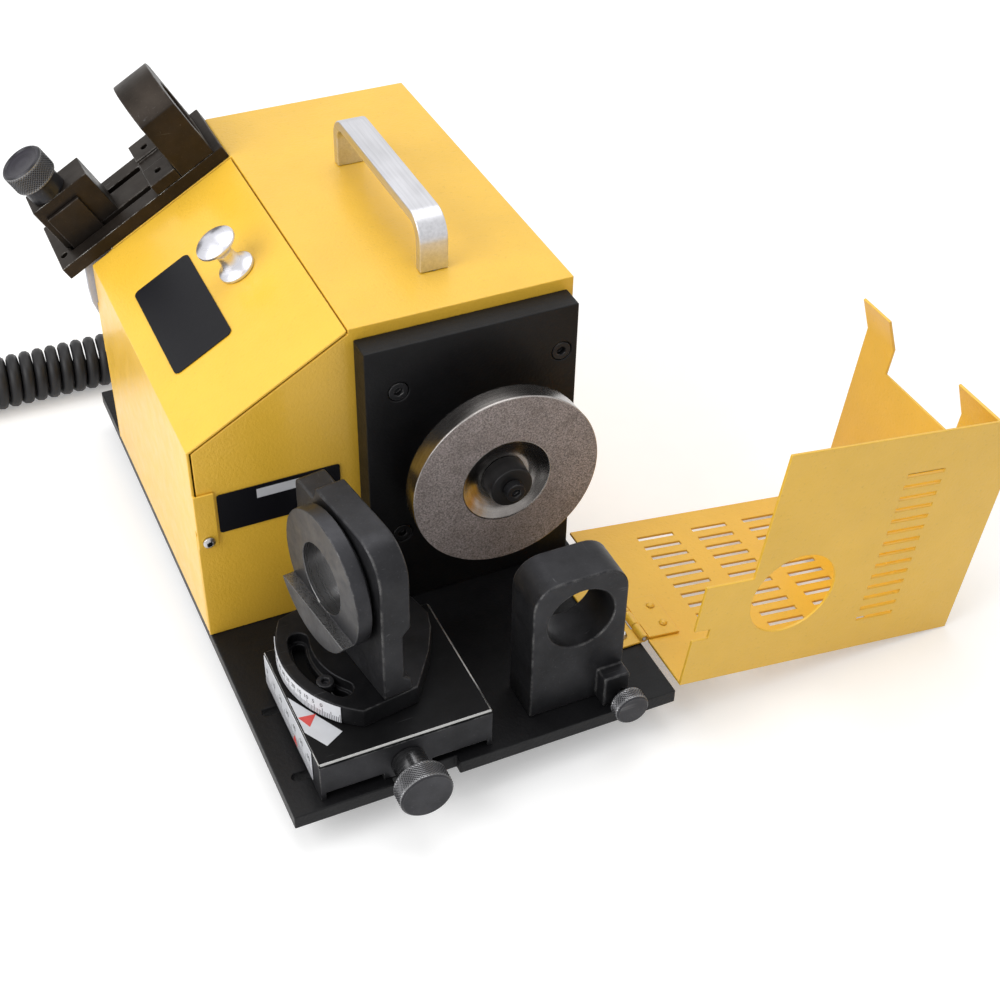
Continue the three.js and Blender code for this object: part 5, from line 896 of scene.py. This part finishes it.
class TAPGRINDER_OT_front_plate(Operator):
    """Thick front plate with its four socket screws"""

    bl_idname = "tap_grinder.front_plate"
    bl_label = "Front plate"

    def execute(self, context):
        rounded("front_plate", "black enamel", 0.7, 3)
        for row in ("lower", "upper"):
            for side in ("left", "right"):
                rounded(f"plate_screw_{row}_{side}", "blackened steel", 0.3, 2)
        return {"FINISHED"}


class TAPGRINDER_OT_motor(Operator):
    """Motor and spindle inside the housing"""

    bl_idname = "tap_grinder.motor"
    bl_label = "Motor and spindle"

    def execute(self, context):
        inside = {
            "motor_bell": "cast aluminium", "motor_can": "cast aluminium", "stator": "copper winding",
            "bearing_front": "zinc", "bearing_rear": "zinc", "spindle": "turned spindle",
            "handle_screw_front": "zinc", "handle_screw_rear": "zinc",
        }
        for node, look in inside.items():
            wear(frame["nodes"][node], look)
        return {"FINISHED"}


class TAPGRINDER_OT_wheel(Operator):
    """Grinding wheel, hub flange and bolt"""

    bl_idname = "tap_grinder.wheel"
    bl_label = "Grinding wheel"

    def execute(self, context):
        x, y, z = WHEEL_FACE
        profile = [(7.3, 4.5), (13.2, 4.5), (14.4, 4.42), (16.4, 3.95), (18.6, 2.95), (20.8, 1.6)]
        profile += [(22.8, 0.25), (23.3, 0), (48.8, 0), (49.15, 0.15), (49.3, 0.5), (49.25, 1.2)]
        profile += [(48.65, 11.1), (48.3, 11.55), (47.8, 11.7), (7.3, 11.7), (7.3, 4.5)]
        turned("grinding_wheel", profile, at(x, y, z), BACK, "abrasive wheel", steps=144)
        profile = [(3.3, 0.3), (3.6, 0), (10.3, 0), (10.75, 0.2), (10.95, 0.7), (11.5, 9.3)]
        profile += [(11.6, 9.6), (11.6, 10), (3.3, 10), (3.3, 0.3)]
        hub_reach = 5.8
        turned("hub_flange", profile, at(x, y - hub_reach, z), BACK, "blackened hub")
        rounded("wheel_bolt", "blackened steel", 0.35, 2)
        return {"FINISHED"}


class TAPGRINDER_OT_handle(Operator):
    """Bent flat-bar carry handle"""

    bl_idname = "tap_grinder.handle"
    bl_label = "Carry handle"

    def execute(self, context):
        rounded("carry_handle", "satin aluminium", 0.6, 3)
        return {"FINISHED"}


def on_side_scale(y, z):
    """A point just outside the slide's side scale."""
    spot = at(0, y, z)
    spot.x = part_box("side_scale")[0].x - 0.00005
    return spot


class TAPGRINDER_OT_slide(Operator):
    """Feed slide with its rail, top plate, clamp bolt and side scale"""

    bl_idname = "tap_grinder.slide"
    bl_label = "Feed slide"

    def execute(self, context):
        rounded("slide_rail", "blackened steel", 0.4)
        rounded("slide_block", "blackened steel", 0.35)
        plate = rounded("slide_plate", "worn plate", 0.75, 1)
        top = at(0, 0, PLATE_TOP).z
        wear_on_faces(
            plate, "bare edge",
            lambda f: top - 0.001 < f.center.z < top and 0.3 < f.normal.z < 0.95,
        )
        rounded("clamp_bolt", "blackened steel", 0.4)
        rounded("side_scale", "side scale", 0.08, 1)
        left = (-1, 0, 0)
        marks = [
            (number, on_side_scale(78 - number, 23.5), (0, -1, 0), left)
            for number in range(0, 70, 10)
        ]
        digits("side_scale_numbers", marks, 4.2, "slide")
        tip = [on_side_scale(y, z) for y, z in ((35.0, 14.0), (41.0, 14.0), (38.0, 19.5))]
        patch("side_mark", tip, 0.05, left, 0.015, "red foil", "slide")
        up = (0, 0, 1)
        outline = [(15.7, 50.4), (32.1, 20.0), (22.6, 14.4), (15.8, 26.2)]
        outline = [at(x, y, PLATE_TOP + 0.1) for x, y in outline]
        patch("pointer_foil", outline, 0.12, up, 0.04, "pale foil", "slide")
        tip = [at(x, y, PLATE_TOP + 0.22) for x, y in ((15.9, 36.2), (24.5, 35.2), (19.2, 28.5))]
        patch("pointer_mark", tip, 0.05, up, 0.015, "red foil", "slide")
        return {"FINISHED"}


class TAPGRINDER_OT_hand_screws(Operator):
    """Knurled feed knob, catch thumbscrew and setting knob"""

    bl_idname = "tap_grinder.hand_screws"
    bl_label = "Knurled hand screws"

    def execute(self, context):
        knurl = context.scene.tap_grinder.knurl
        front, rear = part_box("feed_knob")
        knob = knurled(
            "feed_knob", 13.08, 11, [(8.6, 13), (3.6, 60)],
            ((front.x + rear.x) / 2, front.y, FEED_AXIS.z), BACK, knurl,
        )
        sleeve_front = front.y + 0.0113
        wear_on_faces(
            knob, "feed sleeve", lambda f: f.center.y > sleeve_front and abs(f.normal.y) < 0.5
        )
        knurled("thumbscrew", 8.58, 8.2, [(2.0, 12)], at(171, -8.6, 14.4), BACK, knurl)
        head, sleeve = 13.5, 9
        top = on_slope(*SETTING_KNOB, 37.3 + sleeve + head)
        dish = [(0.9, 0), (0.5, 0.6), (2.6, 0.5), (2.8, 0.35), (2.4, 0.15)]
        setter = knurled(
            "setting_knob", 12.08, head, [(10.2, sleeve), (3.0, 26)], top, -SLOPE_NORMAL, knurl, dish
        )
        wear_on_faces(
            setter, "turned knob end",
            lambda f: f.normal.dot(SLOPE_NORMAL) > 0.8 and (f.center - top).length < 0.0114,
        )
        return {"FINISHED"}


class TAPGRINDER_OT_head(Operator):
    """Swivelling work head: sector with its scale, arch block and index ring"""

    bl_idname = "tap_grinder.head"
    bl_label = "Work head"

    def execute(self, context):
        rounded("swivel_sector", "blackened plate", 0.6, 3)
        rounded("rim_scale", "rim scale", 0.06, 1)
        marks = []
        for number in range(0, 65, 5):
            a = math.radians(214.5 - number)
            out = Vector((math.cos(a), math.sin(a), 0))
            marks.append((number, at(*PIVOT, 39.2) + out * 0.05427, (-out.y, out.x, 0), out))
        digits("rim_scale_numbers", marks, 3.2, "head")
        rounded("arch_block", "chipped steel", 1.0, 3)
        ring = rounded("index_ring", "blackened ring", 0.4, 2)

        def in_bore(face):
            off = face.center - RING_CENTRE
            reach = (off - HEAD_AXIS * off.dot(HEAD_AXIS)).length
            return reach < 0.0182 and abs(face.normal.dot(HEAD_AXIS)) < 0.5

        wear_on_faces(ring, "bright bore", in_bore)
        return {"FINISHED"}


class TAPGRINDER_OT_tail_ring(Operator):
    """Tail ring block"""

    bl_idname = "tap_grinder.tail_ring"
    bl_label = "Tail ring"

    def execute(self, context):
        rounded("tail_ring", "chipped steel", 0.9, 3)
        return {"FINISHED"}


class TAPGRINDER_OT_guard(Operator):
    """Folding sheet guard with its hinge"""

    bl_idname = "tap_grinder.guard"
    bl_label = "Guard"

    def execute(self, context):
        rounded("guard_sheet", "yellow enamel", 0.2, 2)
        rounded("hinge_guard_leaf", "yellow enamel", 0.25, 2)
        rounded("hinge_base_leaf", "yellow enamel", 0.25, 2)
        for node in ("guard_rivet_front", "guard_rivet_rear"):
            rounded(node, "yellow enamel", 0.25, 2)
        for node in ("hinge_pin", "hinge_screw"):
            rounded(node, "zinc", 0.2, 2)
        return {"FINISHED"}


class TAPGRINDER_OT_setting_fixture(Operator):
    """Setting fixture on the slope"""

    bl_idname = "tap_grinder.setting_fixture"
    bl_label = "Setting fixture"

    def execute(self, context):
        for node in ("setting_rail", "setting_stop", "setting_ring", "setting_slide", "setting_pad"):
            rounded(node, "brown steel", 0.5, 3)
        return {"FINISHED"}


class TAPGRINDER_OT_switch(Operator):
    """Power switch on the back wall"""

    bl_idname = "tap_grinder.switch"
    bl_label = "Power switch"

    def execute(self, context):
        rounded("switch_frame", "black plastic", 0.6, 3)
        rounded("power_rocker", "black plastic", 0.7, 3)
        return {"FINISHED"}


class TAPGRINDER_OT_lead(Operator):
    """Coiled mains lead with its gland and plug"""

    bl_idname = "tap_grinder.lead"
    bl_label = "Mains lead"

    def execute(self, context):
        lead = context.scene.tap_grinder.lead
        ribs = [(0, -3.5), (5.6, -3.5), (5.6, 0.3), (7.6, 0.3), (8.0, 0.8), (8.0, 4.6), (7.6, 5.0)]
        height = 5.0
        for i in range(6):
            reach = 6.9 - 0.22 * i
            ribs += [(5.3, height + 0.2), (5.3, height + 0.9)]
            ribs += [(reach, height + 1.1), (reach, height + 2.0)]
            height += 2.3
        ribs += [(5.3, height + 0.2), (5.3, 20.3), (0, 20.3)]
        turned("cord_gland", ribs, at(150, 354.7, LEAD_HEIGHT), BACK, "rubber", 30, 64)
        plug = rounded("plug", "black plastic", 0.35, 2)
        points = lead_route(lead)
        curve = bpy.data.curves.new("mains_lead", "CURVE")
        curve.dimensions = "3D"
        curve.bevel_depth = lead.cable / 2
        curve.bevel_resolution = 3
        curve.use_fill_caps = True
        spline = curve.splines.new("POLY")
        spline.points.add(len(points) - 1)
        for p, q in zip(spline.points, points):
            p.co = (*q, 1)
        alone(put("mains_lead", curve))
        bpy.ops.object.convert(target="MESH")
        obj = context.active_object
        smooth(obj, 60)
        fit(obj, "mains_lead", "machine", "lead rubber", "rubber", "curly_cord")
        return {"FINISHED"}


def lead_route(lead):
    """The lead's line: out of the gland, down, along the coil on the bench and to the plug."""
    low = BENCH + 0.2
    radius, pitch, cable = 12.8, 8.0, lead.cable * 500
    coil = Vector((118, 401, low + radius + cable))
    start = Vector((150, 375.6, LEAD_HEIGHT))
    out = start + Vector((0, 2 * cable, 0))
    leave, arrive = Vector((0, 16, 0)), Vector((16, 0, 0))
    points = [start, *bezier(out, out + leave, coil + arrive, coil, 10)]
    steps, total = lead.steps, lead.curls * lead.steps
    for i in range(1, total + 1):
        ramp = min(1, i / steps, (total - i) / steps)
        r = radius * math.sin(ramp * math.pi / 2)
        a = 2 * math.pi * i / steps
        points.append(coil + Vector((-i * pitch / steps, r * math.cos(a), r * math.sin(a))))
    end = points[-1]
    tail, plug_height = 70, 11
    plug = Vector((end.x - tail, coil.y, low + plug_height))
    straight = Vector((2 * cable, 0, 0))
    third = Vector((tail / 3, 0, 0))
    points += bezier(end, end - third, plug + third + straight, plug + straight, 10)[1:]
    points.append(plug)
    return [at(*p) for p in points]


def bezier(a, b, c, d, steps):
    """Points of a cubic curve, the first and last among them."""
    return [
        a * (1 - t) ** 3 + b * 3 * t * (1 - t) ** 2 + c * 3 * t * t * (1 - t) + d * t**3
        for t in (i / steps for i in range(steps + 1))
    ]


# The photograph's camera: its lens in millimetres, its place, and its right, up and back axes
LENS = 59.7634
CAMERA_PLACE = (-124.635, -479.192, 612.807)
CAMERA_AXES = (
    (0.91021218, -0.4138404, 0.01580839),
    (0.25610789, 0.59246745, 0.76380041),
    (-0.32545743, -0.69117179, 0.64525888),
)


class TAPGRINDER_OT_stage(Operator):
    """Pale floor, studio light and camera"""

    bl_idname = "tap_grinder.stage"
    bl_label = "Stage"

    def execute(self, context):
        stage = context.scene.tap_grinder.stage
        scene = context.scene
        scene.view_settings.view_transform = "Standard"
        bpy.ops.object.select_all(action="DESELECT")
        bpy.ops.mesh.primitive_plane_add(size=12, location=(0, 0, 0))
        floor = context.active_object
        floor.name = floor.data.name = "floor"
        whole(floor)
        bpy.ops.mesh.subdivide(number_cuts=3)
        close()
        floor.data.materials.append(floor_finish())
        world = bpy.data.worlds.new("surround")
        scene.world = world
        world.use_nodes = True
        surround(world.node_tree, stage.surround)
        self.lamp("key_lamp", (-1.15, -0.25, 0.85), (0, 0.02, 0.08), 1.1, stage.key)
        self.lamp("top_lamp", (0.1, 0.35, 1.5), (0, 0, 0.1), 1.3, stage.top)
        eye = bpy.data.cameras.new("camera")
        eye.sensor_width = 36
        eye.lens = LENS
        eye.clip_start = 0.01
        scene.camera = put("camera", eye)
        turn = Matrix(CAMERA_AXES).transposed().to_4x4()
        scene.camera.matrix_world = Matrix.Translation(at(*CAMERA_PLACE)) @ turn
        return {"FINISHED"}

    def lamp(self, name, place, target, size, power):
        light = bpy.data.lights.new(name, "AREA")
        light.shape = "DISK"
        light.size = size
        light.energy = power
        turn = (Vector(target) - Vector(place)).to_track_quat("-Z", "Y").to_matrix().to_4x4()
        put(name, light).matrix_world = Matrix.Translation(place) @ turn


def seen_rays(tree):
    """1 for rays of the camera, of reflections and of clear pieces."""
    path = tree.nodes.new("ShaderNodeLightPath")
    total = path.outputs["Is Camera Ray"]
    for name in ("Is Glossy Ray", "Is Transmission Ray"):
        n = tree.nodes.new("ShaderNodeMath")
        n.operation = "MAXIMUM"
        tree.links.new(total, n.inputs[0])
        tree.links.new(path.outputs[name], n.inputs[1])
        total = n.outputs[0]
    return total


def surround(tree, level):
    """White for what is seen, and a softer level for the light that falls on the machine."""
    back = tree.nodes["Background"]
    back.inputs["Color"].default_value = (1, 1, 1, 1)
    n = tree.nodes.new("ShaderNodeMix")
    n.data_type = "FLOAT"
    n.inputs[2].default_value = level
    n.inputs[3].default_value = 1.0
    tree.links.new(seen_rays(tree), n.inputs[0])
    tree.links.new(n.outputs[0], back.inputs["Strength"])


def floor_finish():
    """White floor that keeps the machine's shadow."""
    f = Finish("white floor")
    f.set("Emission Color", (1, 1, 1))
    f.set("Emission Strength", f.times(seen_rays(f.tree), 0.30))
    speck = f.span(f.noise(60, 3.0, 0.5), 0.3, 0.7)
    return f.done(f.mix(speck, (0.80, 0.80, 0.80), (0.82, 0.82, 0.82)), 0.8, None)


# Panel and registration


class TAPGRINDER_PT_panel(Panel):
    """Pieces of the tap grinding machine"""

    bl_idname = "TAPGRINDER_PT_panel"
    bl_label = "Tap grinding machine"
    bl_space_type = "VIEW_3D"
    bl_region_type = "UI"
    bl_category = "Tap Grinder"

    def draw(self, context):
        settings = context.scene.tap_grinder
        for group in (settings.enamel, settings.steel, settings.knurl, settings.lead, settings.stage):
            box = self.layout.box()
            for key in group.bl_rna.properties.keys():
                if key not in ("rna_type", "name"):
                    box.prop(group, key)
        column = self.layout.column()
        for operator in OPERATORS:
            column.operator(operator.bl_idname)


OPERATORS = (
    TAPGRINDER_OT_stage,
    TAPGRINDER_OT_lead,
    TAPGRINDER_OT_base,
    TAPGRINDER_OT_housing,
    TAPGRINDER_OT_cover_knob,
    TAPGRINDER_OT_labels,
    TAPGRINDER_OT_front_plate,
    TAPGRINDER_OT_motor,
    TAPGRINDER_OT_wheel,
    TAPGRINDER_OT_handle,
    TAPGRINDER_OT_slide,
    TAPGRINDER_OT_hand_screws,
    TAPGRINDER_OT_head,
    TAPGRINDER_OT_tail_ring,
    TAPGRINDER_OT_guard,
    TAPGRINDER_OT_setting_fixture,
    TAPGRINDER_OT_switch,
)
CLASSES = (
    EnamelSettings,
    SteelSettings,
    KnurlSettings,
    LeadSettings,
    StageSettings,
    TapGrinderSettings,
    *OPERATORS,
    TAPGRINDER_PT_panel,
)


def register():
    for cls in CLASSES:
        bpy.utils.register_class(cls)
    bpy.types.Scene.tap_grinder = PointerProperty(type=TapGrinderSettings)


def unregister():
    del bpy.types.Scene.tap_grinder
    for cls in reversed(CLASSES):
        bpy.utils.unregister_class(cls)


def main():
    register()
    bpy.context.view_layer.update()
    bpy.ops.tap_grinder.stage()
    bpy.ops.tap_grinder.lead()
    bpy.ops.tap_grinder.base()
    bpy.ops.tap_grinder.housing()
    bpy.ops.tap_grinder.cover_knob()
    bpy.ops.tap_grinder.labels()
    bpy.ops.tap_grinder.front_plate()
    bpy.ops.tap_grinder.motor()
    bpy.ops.tap_grinder.wheel()
    bpy.ops.tap_grinder.handle()
    bpy.ops.tap_grinder.slide()
    bpy.ops.tap_grinder.hand_screws()
    bpy.ops.tap_grinder.head()
    bpy.ops.tap_grinder.tail_ring()
    bpy.ops.tap_grinder.guard()
    bpy.ops.tap_grinder.setting_fixture()
    bpy.ops.tap_grinder.switch()


if __name__ == "__main__":
    main()
